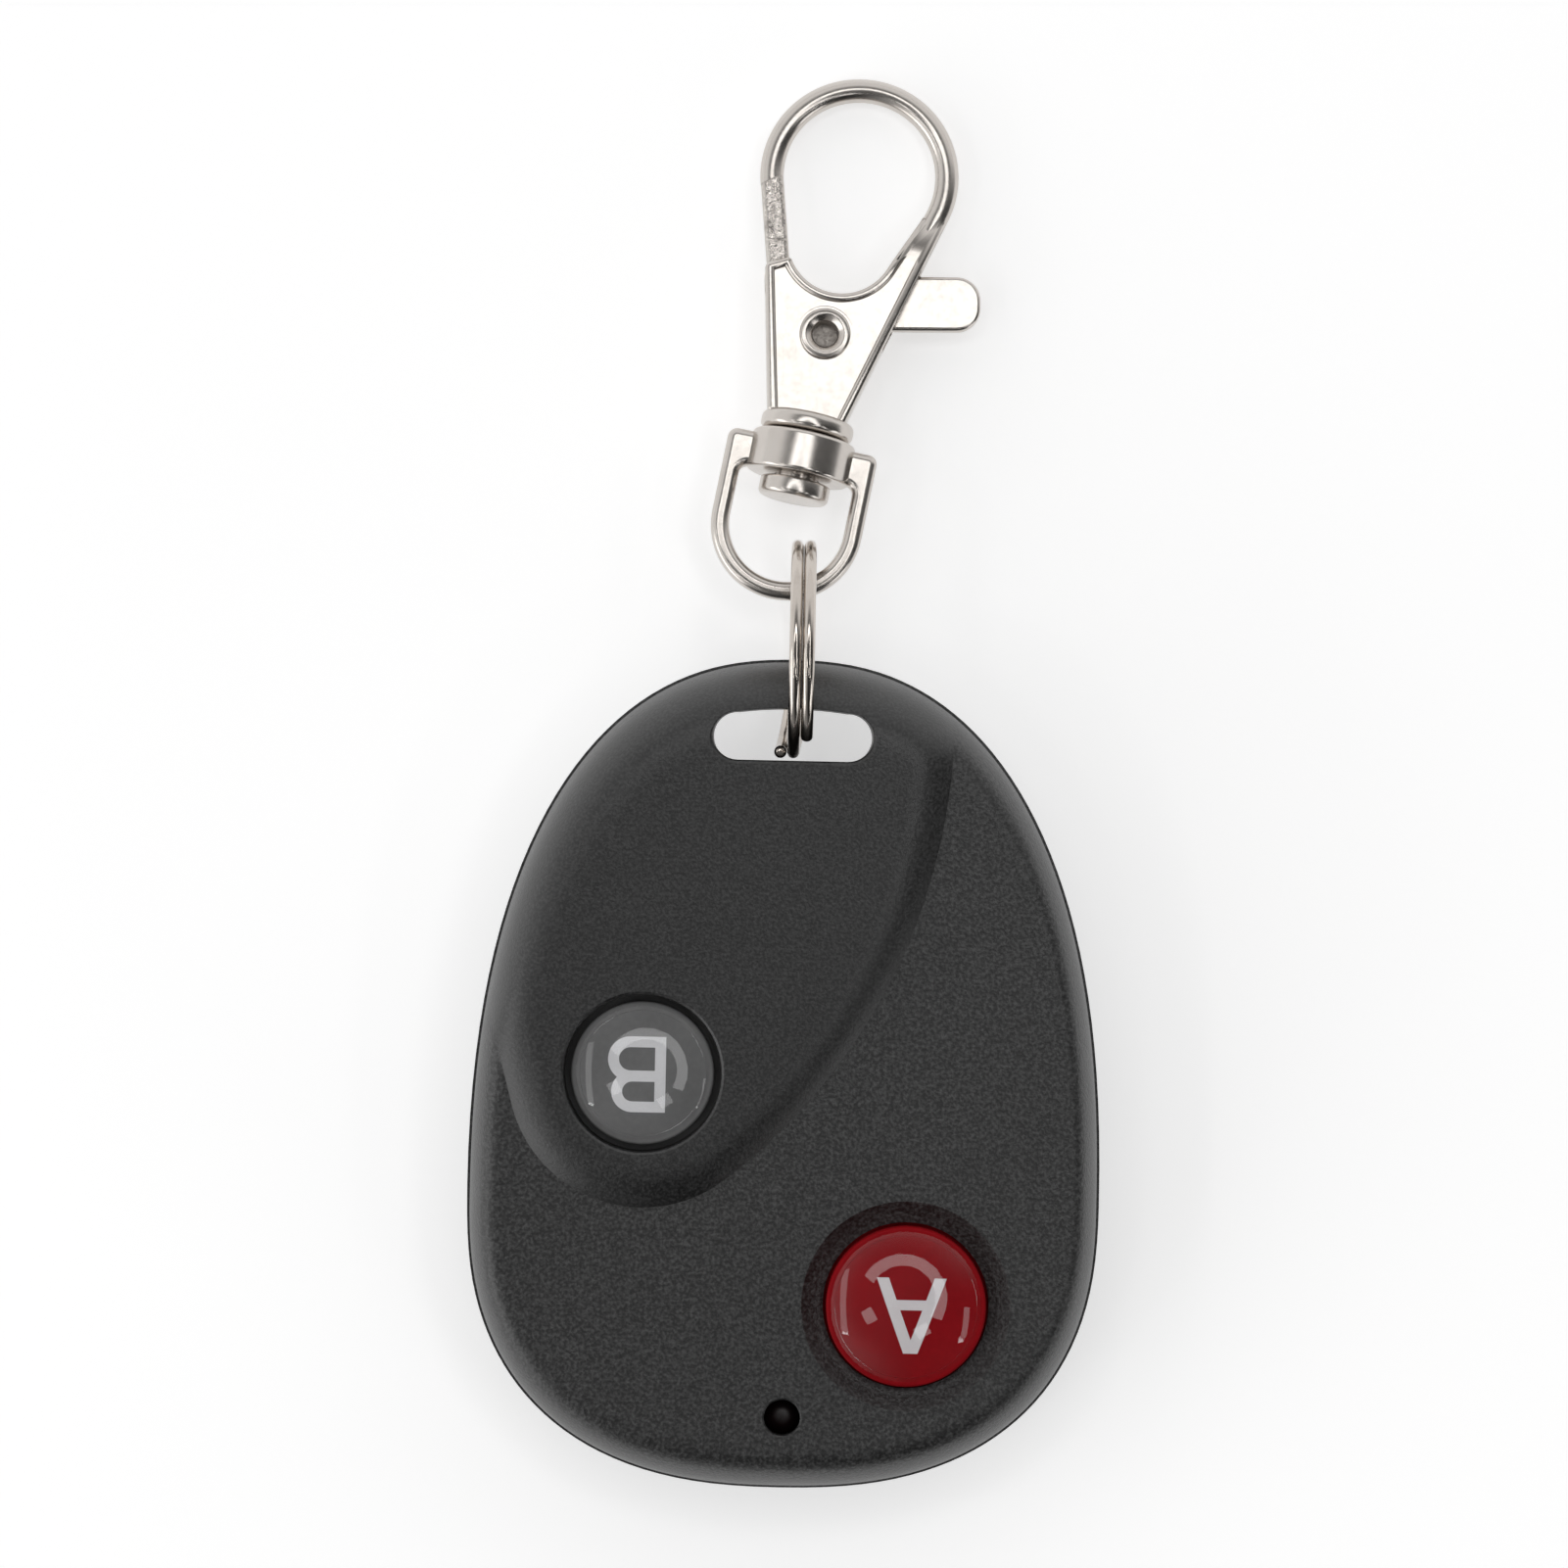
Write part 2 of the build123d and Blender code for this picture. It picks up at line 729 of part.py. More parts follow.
def battery_contact_spring():
    """Short compression spring between the battery and its plate."""
    start_x = contact_half_length() - contact_spring_wire / 2

    def to_world(point):
        return Vector(start_x - point.Z, battery_y + point.X, battery_z + point.Y)

    stations = helix_stations(contact_spring_radius, contact_spring_pitch, contact_spring_turns, to_world)
    return wound_wire("battery_contact_spring", stations, contact_spring_wire)


def tuning_coil():
    """Air-core coil that lies on the board."""
    start_x = coil_place[0] - coil_pitch * coil_turns / 2

    def to_world(point):
        height = board_top + coil_radius + coil_wire / 2
        return Vector(start_x + point.Z, coil_place[1] + point.X, height + point.Y)

    stations = helix_stations(coil_radius, coil_pitch, coil_turns, to_world)
    return wound_wire("tuning_coil", stations, coil_wire)


def clasp_plane():
    """Local frame of the swivel: V along its axis to the hook, W out of the hook's face."""
    heading = math.radians(clasp_heading)
    pitch = math.radians(clasp_pitch)
    across = Vector(math.cos(heading), -math.sin(heading), 0)
    out = Vector(
        math.sin(pitch) * math.sin(heading),
        math.sin(pitch) * math.cos(heading),
        math.cos(pitch),
    )
    origin = (clasp_origin[0], clasp_origin[1], clasp_height)
    return Plane(origin=origin, x_dir=across, z_dir=out)


def turned(radius, low, high):
    """Cylinder about the swivel axis, between two places along it."""
    return Pos(0, (low + high) / 2, 0) * Rot(90, 0, 0) * Cylinder(radius, high - low)


def plate(face, low, high):
    """Plate of a face in the local plane, between two depths."""
    return extrude(Pos(0, 0, low) * face, high - low, dir=(0, 0, 1))


def swivel_loop():
    """Collar with shoulders that run down into a round bow."""
    bow_centre = loop_half_width - loop_reach
    inner_half = loop_half_width - loop_bar
    inner_radius = inner_half
    outer = Pos(0, (shoulder_top + bow_centre) / 2) * Rectangle(2 * loop_half_width, shoulder_top - bow_centre)
    outer += Pos(0, bow_centre) * Circle(loop_half_width)
    corners = outer.vertices().group_by(Axis.Y)[-1]
    outer = fillet(corners, shoulder_corner_radius)
    inner = Pos(0, (shoulder_bottom + bow_centre) / 2) * Rectangle(2 * inner_half, shoulder_bottom - bow_centre)
    inner += Pos(0, bow_centre) * Circle(inner_radius)
    frame = plate((outer - inner).face(), -loop_depth / 2, loop_depth / 2)
    rims = frame.faces().filter_by(Axis.Z).edges()
    frame = fillet(rims, loop_edge_radius)
    collar = turned(collar_radius, -collar_height / 2, collar_height / 2)
    collar = fillet(collar.edges().filter_by(GeomType.CIRCLE), collar_edge_radius)
    loop = frame + collar
    return loop - turned(stud_radius + stud_clearance, -2 * collar_height, 2 * collar_height)


def body_outline():
    """Outline of the hook's flat body, from its base at the flange up to the throat."""
    points = [
        (body_base_left, flange_top),
        (body_base_right, flange_top),
        body_right_top,
        (body_right_top[0] - eye_wire, body_right_top[1]),
        (throat_centre[0] + throat_radius, throat_centre[1]),
        throat_centre,
        body_left_top,
    ]
    return Face(Wire(Polyline(*points, close=True)))


def throat_face():
    """Opening of the hook: the throat's circle and the eye's, hulled together."""
    throat = Pos(*throat_centre) * Circle(throat_radius)
    eye = Pos(0, eye_centre_v) * Circle(eye_radius - eye_wire / 2)
    return make_hull(throat.edges() + eye.edges()).face()


def nose_cutter(shift):
    """Half plane below the slanted joint between nose and gate, shifted along its normal."""
    size = 2 * eye_radius
    slant = Rot(0, 0, gate_joint_angle)
    return Pos(*gate_joint) * slant * Pos(0, -size / 2 + shift, 0) * Box(size, size, size)


def hook_eye():
    """Round wire from the nose over the top of the eye and down the strand into the body."""
    centre = Vector(0, eye_centre_v)
    nose_past = 4.0
    nose = Vector(1, 0).rotate(Axis.Z, nose_angle + nose_past)
    top = Vector(1, 0).rotate(Axis.Z, (nose_angle + nose_past - strand_angle) / 2)
    low = Vector(1, 0).rotate(Axis.Z, -strand_angle)
    down = Vector(-math.sin(math.radians(strand_angle)), -math.cos(math.radians(strand_angle)))
    strand_end = centre + low * eye_radius
    strand_length = (strand_end.Y - flange_top) / math.cos(math.radians(strand_angle))
    path = Wire(
        [
            ThreePointArc(centre + nose * eye_radius, centre + top * eye_radius, strand_end),
            Line(strand_end, strand_end + down * strand_length),
        ]
    )
    eye = sweep(Plane(origin=path @ 0, z_dir=path % 0) * Circle(eye_wire / 2), path=path)
    left_half = block((-far, 0), (-far, eye_centre_v), (-far, far))
    return eye - (nose_cutter(0) & left_half)


def lever_slot():
    """Room inside the body in which the lever turns, open at the left top and on the right."""
    x, y = rivet_place
    low = y - lever_hub_radius - 3 * lever_slot_clearance
    left_slope = (body_left_top[0] - body_base_left) / (body_left_top[1] - flange_top)
    opening = body_left_top[1] - left_wall_end
    wall_low = body_base_left + left_wall + left_slope * (low - flange_top)
    wall_high = body_base_left + left_wall + left_slope * (opening - flange_top)
    tab_way = (Vector(*tab_tip) - Vector(*tab_root)).normalized()
    side = Vector(-tab_way.Y, tab_way.X) * (tab_width / 2 + lever_slot_clearance)
    upper_in = Vector(*tab_root) + side
    upper_out = upper_in + tab_way * case_width / 4
    drop = tab_way.rotate(Axis.Z, -tab_drop)
    hub = Vector(x, y)
    lower = hub + (Vector(*tab_root) - side - hub).rotate(Axis.Z, -tab_drop)
    points = [
        (wall_low, low),
        (wall_high, opening),
        (body_left_top[0] - 2, opening + 0.6),
        (body_left_top[0] - 2, throat_centre[1]),
        (throat_centre[0], throat_centre[1]),
        (upper_in.X - 0.4, upper_in.Y),
        (upper_out.X, upper_out.Y),
        ((lower + drop * case_width / 4).X, (lower + drop * case_width / 4).Y),
        (lower.X, lower.Y),
        (x + lever_hub_radius, low),
    ]
    face = Face(Wire(Polyline(*points, close=True)))
    return plate(face, -lever_slot_width / 2, lever_slot_width / 2)


def face_recesses():
    """Shallow flat recesses in both faces of the body, inside a raised rim."""
    face = offset(body_outline(), -face_rim, kind=Kind.INTERSECTION).face()
    face -= Pos(*throat_centre) * Circle(throat_radius + face_rim)
    down = Pos(0, (flange_top + face_rim) / 2 + 1) * Rectangle(
        body_base_right - body_base_left - 2 * face_rim, flange_top + face_rim + 2
    )
    low_part = down & (Pos(0, flange_top + 1) * Rectangle(2 * case_width, 2))
    shape = (face + low_part).face()
    half = body_thickness / 2
    return [plate(shape, half - face_recess, half + 1), plate(shape, -half - 1, face_recess - half)]


def clasp_body():
    """Hook, body, flange and stud; the stud's end is headed over inside the loop."""
    half = body_thickness / 2
    body = plate(body_outline(), -half, half)
    body -= plate(throat_face(), -far, far)
    for recess in face_recesses():
        body -= recess
    body -= lever_slot()
    body += hook_eye() - plate(throat_face(), -far, far) - lever_slot()
    flange = turned(flange_radius, flange_base, flange_top)
    flange = fillet(flange.edges().filter_by(GeomType.CIRCLE), flange_edge_radius)
    head = turned(stud_head_radius, stud_head_top - stud_head_thickness, stud_head_top)
    head = fillet(head.edges().filter_by(GeomType.CIRCLE), stud_head_edge)
    stud = turned(stud_radius, stud_head_top - stud_head_thickness / 2, flange_top)
    body += flange + stud + head
    return body - post(rivet_place, rivet_radius + rivet_seat_clearance, -half - 1, half + 1)


def lever_face():
    """Flat outline of the lever inside the body: gate arm, hub and thumb tab."""
    hub = Pos(*rivet_place) * Circle(lever_hub_radius)
    foot = Vector(*gate_foot)
    half = gate_width / 2
    arm_end = Pos(*gate_foot) * Circle(half)
    arm = make_hull(hub.edges() + arm_end.edges())
    root, tip = Vector(*tab_root), Vector(*tab_tip)
    way = (tip - root).normalized()
    side = Vector(-way.Y, way.X) * (tab_width / 2)
    tab = Face(Wire(Polyline(root + side, root - side, tip - side, tip + side, close=True)))
    outer = tab.vertices().sort_by_distance(tip)[:2]
    tab = fillet(outer, tab_corner_radius)
    neck_points = [root + side, root - side]
    neck_edges = hub.edges() + [Line(neck_points[0], neck_points[1]).edge()]
    neck = make_hull(neck_edges)
    return (arm + tab + neck).face()


def gate_bar():
    """Bar that closes the hook, with its edges rounded and its end cut on the slant."""
    foot, joint = Vector(*gate_foot), Vector(*gate_joint)
    way = (joint - foot).normalized()
    length = (joint - foot).length + gate_width
    angle = math.degrees(math.atan2(way.Y, way.X))
    bar = Pos(length / 2, 0, 0) * Box(length, gate_width, gate_width)
    bar = fillet(bar.edges().filter_by(Axis.X), gate_edge_radius)
    bar = Pos(foot.X, foot.Y, 0) * Rot(0, 0, angle) * bar
    return bar & nose_cutter(-gate_joint_gap)


def clasp_lever():
    """Gate, hub and thumb tab in one piece, bored for the rivet."""
    low = -lever_slot_width / 2 + lever_side_gap
    lever = plate(lever_face(), low, low + lever_thickness)
    lever += gate_bar()
    return lever - post(rivet_place, rivet_radius + lever_clearance, -body_thickness, body_thickness)


def clasp_rivet():
    """Hollow rivet with a head in each recessed face."""
    seat = body_thickness / 2 - face_recess
    rivet = post(rivet_place, rivet_radius, -seat, seat)
    for low, high in ((seat, seat + rivet_head_thickness), (-seat - rivet_head_thickness, -seat)):
        rivet += post(rivet_place, rivet_head_radius, low, high)
    rivet = fillet(rivet.edges().filter_by(GeomType.CIRCLE).group_by(Axis.Z)[-1], rivet_head_thickness / 2)
    rivet = fillet(rivet.edges().filter_by(GeomType.CIRCLE).group_by(Axis.Z)[0], rivet_head_thickness / 2)
    return rivet - post(rivet_place, rivet_bore_radius, -body_thickness, body_thickness)


def clasp_spring():
    """Hairpin spring: most of a turn about the rivet, with a leg to the gate arm and one to the body."""
    level = lever_slot_width / 2 - clasp_spring_wire / 2 - lever_side_gap / 2
    centre = Vector(rivet_place[0], rivet_place[1], level)
    gate_angle, body_angle = 55.0, -115.0
    first = Vector(clasp_spring_radius, 0).rotate(Axis.Z, gate_angle)
    last = Vector(clasp_spring_radius, 0).rotate(Axis.Z, body_angle)
    opposite = Vector(clasp_spring_radius, 0).rotate(Axis.Z, (gate_angle + body_angle) / 2)
    first_way = Vector(-first.Y, first.X).normalized()
    last_way = Vector(last.Y, -last.X).normalized()
    path = Wire(
        [
            Line(centre + first + first_way * clasp_spring_gate_leg, centre + first),
            ThreePointArc(centre + first, centre + opposite, centre + last),
            Line(centre + last, centre + last + last_way * clasp_spring_body_leg),
        ]
    )
    return sweep(Plane(origin=path @ 0, z_dir=path % 0) * Circle(clasp_spring_wire / 2), path=path)


def all_nodes():
    """Every node of the assembly, by its name."""
    nodes = {
        "front_cover": front_cover(),
        "rear_cover": rear_cover(),
        "cover_screws": cover_screws(),
        "button_a_cap": button_cap(button_a_place, button_a_cap_radius, button_a_rim_height),
        "button_a_dome": button_dome(
            button_a_place, button_a_cap_radius, button_a_rim_height, button_a_dome_rise
        ),
        "button_b_cap": button_cap(button_b_place, button_b_cap_radius, button_b_rim_height),
        "button_b_dome": button_dome(
            button_b_place, button_b_cap_radius, button_b_rim_height, button_b_dome_rise
        ),
        "switch_a_body": switch_body(button_a_place),
        "switch_a_plunger": switch_plunger(button_a_place),
        "switch_b_body": switch_body(button_b_place),
        "switch_b_plunger": switch_plunger(button_b_place),
        "circuit_board": circuit_board(),
        "status_led": status_led(),
        "encoder_chip": encoder_chip(),
        "saw_resonator": saw_resonator(),
        "rf_transistor": rf_transistor(),
        "tuning_coil": tuning_coil(),
        "chip_passives": chip_passives(),
        "battery": battery(),
        "battery_contact_plate": contact_plate(-1),
        "battery_spring_plate": contact_plate(1),
        "battery_contact_spring": battery_contact_spring(),
        "split_ring": split_ring(),
    }
    frame = clasp_plane()
    clasp_parts = {
        "swivel_loop": swivel_loop(),
        "clasp_body": clasp_body(),
        "clasp_lever": clasp_lever(),
        "clasp_rivet": clasp_rivet(),
        "clasp_spring": clasp_spring(),
    }
    for name, shape in clasp_parts.items():
        nodes[name] = frame.location * shape
    return nodes


os.makedirs("parts", exist_ok=True)
for node_name, node_shape in all_nodes().items():
    export_step(node_shape, f"parts/{node_name}.step")
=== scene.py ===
import logging
import math
from dataclasses import dataclass
from enum import Enum

import bmesh
import bpy
from mathutils import Matrix, Vector


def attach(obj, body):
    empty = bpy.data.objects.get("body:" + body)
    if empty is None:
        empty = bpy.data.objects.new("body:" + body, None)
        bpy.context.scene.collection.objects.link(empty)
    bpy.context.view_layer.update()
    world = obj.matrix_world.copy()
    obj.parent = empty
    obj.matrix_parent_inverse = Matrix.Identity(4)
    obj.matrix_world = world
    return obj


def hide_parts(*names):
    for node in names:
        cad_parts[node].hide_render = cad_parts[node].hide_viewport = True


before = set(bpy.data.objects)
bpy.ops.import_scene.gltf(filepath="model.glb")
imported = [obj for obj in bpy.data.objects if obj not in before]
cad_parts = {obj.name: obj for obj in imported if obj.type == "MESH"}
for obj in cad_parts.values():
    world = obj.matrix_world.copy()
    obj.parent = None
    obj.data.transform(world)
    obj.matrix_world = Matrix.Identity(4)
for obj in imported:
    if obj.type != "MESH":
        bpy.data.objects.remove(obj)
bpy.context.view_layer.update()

MM = 0.001
# Points nearer than this, in millimetres, are one point
MERGE = 1e-4
# Half the height of a tool that cuts right through any piece of the clasp
THROUGH = 6.0
LOG = logging.getLogger("remote_control")

Point2 = tuple[float, float]
Point3 = tuple[float, float, float]
Station = tuple[Vector, Vector, Vector]
Piece = bpy.types.Object
Tree = bpy.types.NodeTree
Socket = bpy.types.NodeSocket


class Axis(Enum):
    """Axis of its own frame that a piece is turned about."""

    UPRIGHT = (0.0, 0.0, 1.0)
    LENGTHWISE = (0.0, 1.0, 0.0)


class Ink(Enum):
    """Channel letter printed under a clear dome."""

    LETTER_A = "a"
    LETTER_B = "b"


def linear(code: str) -> tuple[float, float, float, float]:
    """Turn an sRGB hex code into linear colour.

    Args:
        code: colour such as "#3a3a3a".

    Returns:
        Linear red, green, blue and an alpha of 1.
    """
    channels = [int(code[i : i + 2], 16) / 255 for i in (1, 3, 5)]
    red, green, blue = (c / 12.92 if c <= 0.04045 else ((c + 0.055) / 1.055) ** 2.4 for c in channels)
    return (red, green, blue, 1.0)


def connect(tree: Tree, node: bpy.types.Node, inputs: dict | tuple) -> None:
    """Set a node's inputs.

    Args:
        tree: node tree that holds the node.
        node: the node.
        inputs: by name or number, or in order from the first, a value, an output to link from, or a node
            whose first output in use is linked.
    """
    for key, value in inputs.items() if isinstance(inputs, dict) else enumerate(inputs):
        if isinstance(value, bpy.types.Node):
            value = next(output for output in value.outputs if output.enabled)
        if isinstance(value, Socket):
            tree.links.new(value, node.inputs[key])
        else:
            node.inputs[key].default_value = value


def add_node(tree: Tree, kind: str, inputs: dict | tuple = (), **settings: object) -> bpy.types.Node:
    """Add one node with its settings, input values and links.

    Args:
        tree: node tree that gets the node.
        kind: Blender's name of the node type, after "ShaderNode".
        inputs: what connect() sets.
        settings: the node's own properties.

    Returns:
        The new node.
    """
    made = tree.nodes.new("ShaderNode" + kind)
    for name, value in settings.items():
        setattr(made, name, value)
    connect(tree, made, inputs)
    return made


def per_metre(size: float) -> float:
    """Give the noise scale at which a pattern's features are this many millimetres across."""
    return 1 / (size * MM)


class Finish:
    """Surface finish, whose material is made on first use and then shared."""

    made: dict[str, bpy.types.Material] = {}

    def material(self) -> bpy.types.Material:
        """Give this finish's material.

        Returns:
            The material, the same one every time.
        """
        if self.name not in Finish.made:
            material = bpy.data.materials.new(self.name)
            material.use_nodes = True
            tree = material.node_tree
            place = add_node(tree, "TexCoord").outputs["Object"]
            connect(tree, tree.nodes["Principled BSDF"], self.surface(tree, place))
            material.diffuse_color = linear(self.colour)
            Finish.made[self.name] = material
        return Finish.made[self.name]

    def surface(self, tree: Tree, place: Socket) -> dict:
        """Draw the finish's own nodes and give what the shader's inputs are set to or linked from."""
        raise NotImplementedError


@dataclass(frozen=True)
class MouldedPlastic(Finish):
    """Injection-moulded plastic with the grain of its mould; sizes in millimetres."""

    name: str
    colour: str
    fleck: str
    roughness: float = 0.5
    grain: float = 0.3
    depth: float = 0.02
    mottle: float = 6.0
    flecks: float = 0.5
    specular: float = 0.5
    gloss_spread: float = 0.06
    shade_spread: float = 0.07
    ior: float = 1.53

    def surface(self, tree: Tree, place: Socket) -> dict:
        """Draw grain in the colour, the gloss and the bump, and a slow mottling over it.

        Args:
            tree: the material's node tree.
            place: where on the piece a point lies.

        Returns:
            What the shader's inputs are set to or linked from.
        """
        noise = {"Vector": place, "Scale": per_metre(self.grain), "Detail": 3.0, "Roughness": 0.62}
        grain = add_node(tree, "TexNoise", noise)
        slow = add_node(tree, "TexNoise", {"Vector": place, "Scale": per_metre(self.mottle), "Detail": 2.0})
        share = add_node(tree, "MapRange", (grain, 0.42, 0.68, 0.0, self.flecks))
        ends = {6: linear(self.colour), 7: linear(self.fleck)}
        colour = add_node(tree, "Mix", {0: share, **ends}, data_type="RGBA")
        shade = add_node(tree, "MapRange", (slow, 0.3, 0.7, 1 - self.shade_spread, 1 + self.shade_spread))
        mottled = add_node(tree, "Mix", {0: 1.0, 6: colour, 7: shade}, data_type="RGBA", blend_type="MULTIPLY")
        least, most = self.roughness - self.gloss_spread, self.roughness + self.gloss_spread
        gloss = add_node(tree, "MapRange", (grain, 0.3, 0.7, least, most))
        bump = add_node(tree, "Bump", {"Height": grain, "Distance": self.depth * MM, "Strength": 1.0})
        plain = {"IOR": self.ior, "Specular IOR Level": self.specular}
        return {"Base Color": mottled, "Roughness": gloss, "Normal": bump, **plain}


@dataclass(frozen=True)
class PlatedMetal(Finish):
    """Metal with a plated or drawn surface that ripples a little; sizes in millimetres."""

    name: str
    colour: str
    stain_and_painted_shade: str
    roughness: float = 0.14
    ripple: float = 1.6
    ripple_depth: float = 0.012
    pit: float = 0.25
    pit_depth: float = 0.0
    unevenness: float = 0.5

    def surface(self, tree: Tree, place: Socket) -> dict:
        """Draw faint stains, dark enough on a rough casting to paint shade into it, an uneven polish, slow ripples
        and fine pits.

        Args:
            tree: the material's node tree.
            place: where on the piece a point lies.

        Returns:
            What the shader's inputs are set to or linked from.
        """
        ripple = add_node(tree, "TexNoise", {"Vector": place, "Scale": per_metre(self.ripple), "Detail": 3.0})
        noise = {"Vector": place, "Scale": per_metre(self.pit), "Detail": 4.0, "Roughness": 0.7}
        pits = add_node(tree, "TexNoise", noise)
        # Slow noise mixes in the stain colour; on the rough casting that colour is dark and partly paints shade and
        # dark reflections
        share = add_node(tree, "MapRange", (ripple, 0.5, 0.8, 0.0, 0.6))
        ends = {6: linear(self.colour), 7: linear(self.stain_and_painted_shade)}
        colour = add_node(tree, "Mix", {0: share, **ends}, data_type="RGBA")
        least, most = self.roughness * (1 - self.unevenness / 2), self.roughness * (1 + self.unevenness)
        gloss = add_node(tree, "MapRange", (pits, 0.35, 0.7, least, most))
        slow = add_node(tree, "Bump", {"Height": ripple, "Distance": self.ripple_depth * MM, "Strength": 1.0})
        relief = {"Height": pits, "Distance": self.pit_depth * MM, "Strength": 1.0, "Normal": slow}
        fine = add_node(tree, "Bump", relief)
        return {"Base Color": colour, "Roughness": gloss, "Normal": fine, "Metallic": 1.0}


@dataclass(frozen=True)
class ClearPlastic(Finish):
    """Clear polished plastic with a trace of moulding ripple; sizes in millimetres."""

    name: str
    colour: str
    roughness: float = 0.03
    ripple: float = 2.0
    ripple_depth: float = 0.004
    ior: float = 1.49

    def surface(self, tree: Tree, place: Socket) -> dict:
        """Draw a see-through surface with a very faint ripple.

        Args:
            tree: the material's node tree.
            place: where on the piece a point lies.

        Returns:
            What the shader's inputs are set to or linked from.
        """
        ripple = add_node(tree, "TexNoise", {"Vector": place, "Scale": per_metre(self.ripple)})
        bump = add_node(tree, "Bump", {"Height": ripple, "Distance": self.ripple_depth * MM, "Strength": 1.0})
        plain = {"Roughness": self.roughness, "IOR": self.ior, "Transmission Weight": 1.0}
        return {"Normal": bump, "Base Color": linear(self.colour), **plain}


# ABS from a spark-eroded mould: dull black with pale flecks. Real grain is 0.1 mm or less, drawn coarser to show
CASE_FINE = MouldedPlastic(
    "black_abs_fine_grain", "#0b0b0b", "#3c3c3c", 0.38, 0.21, 0.03, flecks=0.7, specular=0.66
)
# The same ABS where the mould is rougher: larger flecks that glitter, again drawn coarser than they are
CASE_COARSE = MouldedPlastic(
    "black_abs_coarse_grain", "#0a0a0a", "#4c4c4c", 0.4, 0.25, 0.055, flecks=0.75, specular=0.6
)
# ABS as it leaves a plain steel mould: dark grey, satin and almost even
CASE_INSIDE = MouldedPlastic("black_abs_as_moulded", "#1a1a1a", "#242424", 0.4, 0.8, 0.006)
# Coloured ABS behind a clear dome: an even satin ground that leaves the gloss to the dome
CAP_RED = MouldedPlastic("red_abs_satin", "#840811", "#8e0d16", 0.5, 0.5, 0.004, specular=0.06)
CAP_GREY = MouldedPlastic("grey_abs_satin", "#6c6c6c", "#747474", 0.5, 0.5, 0.004, specular=0.06)
# Pad-printed ink: flat pale grey with no gloss of its own
PRINT = MouldedPlastic("pale_grey_pad_print", "#d6d6d8", "#dedee0", 0.6, 0.2, 0.002, specular=0.1)
# Polished acrylic: sharp lights on a clear skin
DOME = ClearPlastic("clear_acrylic_dome", "#fafafa")
# Nickel over a zinc casting: warm bright metal whose polish waves slowly
CLASP_NICKEL = PlatedMetal(
    "nickel_plated_zinc_casting", "#cdc7c1", "#c2bbb4", 0.22, 2.6, 0.006, 0.5, 0.0005, unevenness=0.14
)
# Nickel over a casting left rough: broken glints, and a dark stain colour that partly paints the shade and dark
# reflections of its hollows, drawn coarser than they are
GATE_NICKEL = PlatedMetal("nickel_plated_rough_casting", "#cbc5bf", "#7d7771", 0.09, 0.9, 0.11, 0.8, 0.11)
# Bare steel pressed into a bore: dull grey
BORE_STEEL = PlatedMetal("bare_steel_rivet_bore", "#b3ada7", "#98928d", 0.5, 0.4, 0.01, 0.2, 0.01)
# Nickel over drawn wire: smooth bright lines along the wire
RING_NICKEL = PlatedMetal("nickel_plated_steel_wire", "#cac2ba", "#b5ada5", 0.12, 1.4, 0.008)
# Drawn spring wire: greyer and less bright
SPRING_STEEL = PlatedMetal("drawn_spring_steel", "#8d8f91", "#77797b", 0.25, 0.6, 0.004)
# Zinc on a rolled screw: bluish and half dull
SCREW_STEEL = PlatedMetal("zinc_plated_screw_steel", "#a9adb2", "#8b8f95", 0.3, 0.8, 0.006)
# Nickel on stamped strip: yellowish grey satin
CONTACT_NICKEL = PlatedMetal("nickel_plated_contact_strip", "#b8b7b2", "#a19f99", 0.24, 1.2, 0.004)
# Tin on a pressed can: pale and softly bright
TINNED_CAN = PlatedMetal("tinned_steel_can", "#c2c3c4", "#a9abad", 0.28, 1.0, 0.005)
# Lacquer on copper wire: glossy orange brown
COPPER = PlatedMetal("enamelled_copper_wire", "#b86a3c", "#8f4c26", 0.22, 0.8, 0.003)
# Solder mask on glass laminate: glossy green with the weave just felt under it
LAMINATE = MouldedPlastic("green_solder_mask_on_laminate", "#1d5a34", "#2b7244", 0.35, 0.9, 0.012, 4.0)
# Filled epoxy pressed round a chip: matt charcoal
CHIP_EPOXY = MouldedPlastic("black_epoxy_moulding", "#1b1b1c", "#262627", 0.55, 0.12, 0.006)
# Moulded nylon: waxy black or off-white
SWITCH_NYLON = MouldedPlastic("black_nylon_switch_body", "#202022", "#2b2b2d", 0.45, 0.4, 0.005)
PLUNGER_NYLON = MouldedPlastic("white_nylon_plunger", "#d8d6cf", "#e3e1da", 0.45, 0.4, 0.005)
# Cast smoked epoxy: a smooth drop, nearly black
LED_EPOXY = MouldedPlastic("smoked_epoxy_lamp", "#160a0b", "#200e10", 0.4, 0.8, 0.001)
# Shrunk printed sleeve: glossy blue film
BATTERY_JACKET = MouldedPlastic("printed_battery_sleeve", "#2b3a5c", "#34456b", 0.3, 1.0, 0.004, 3.0)


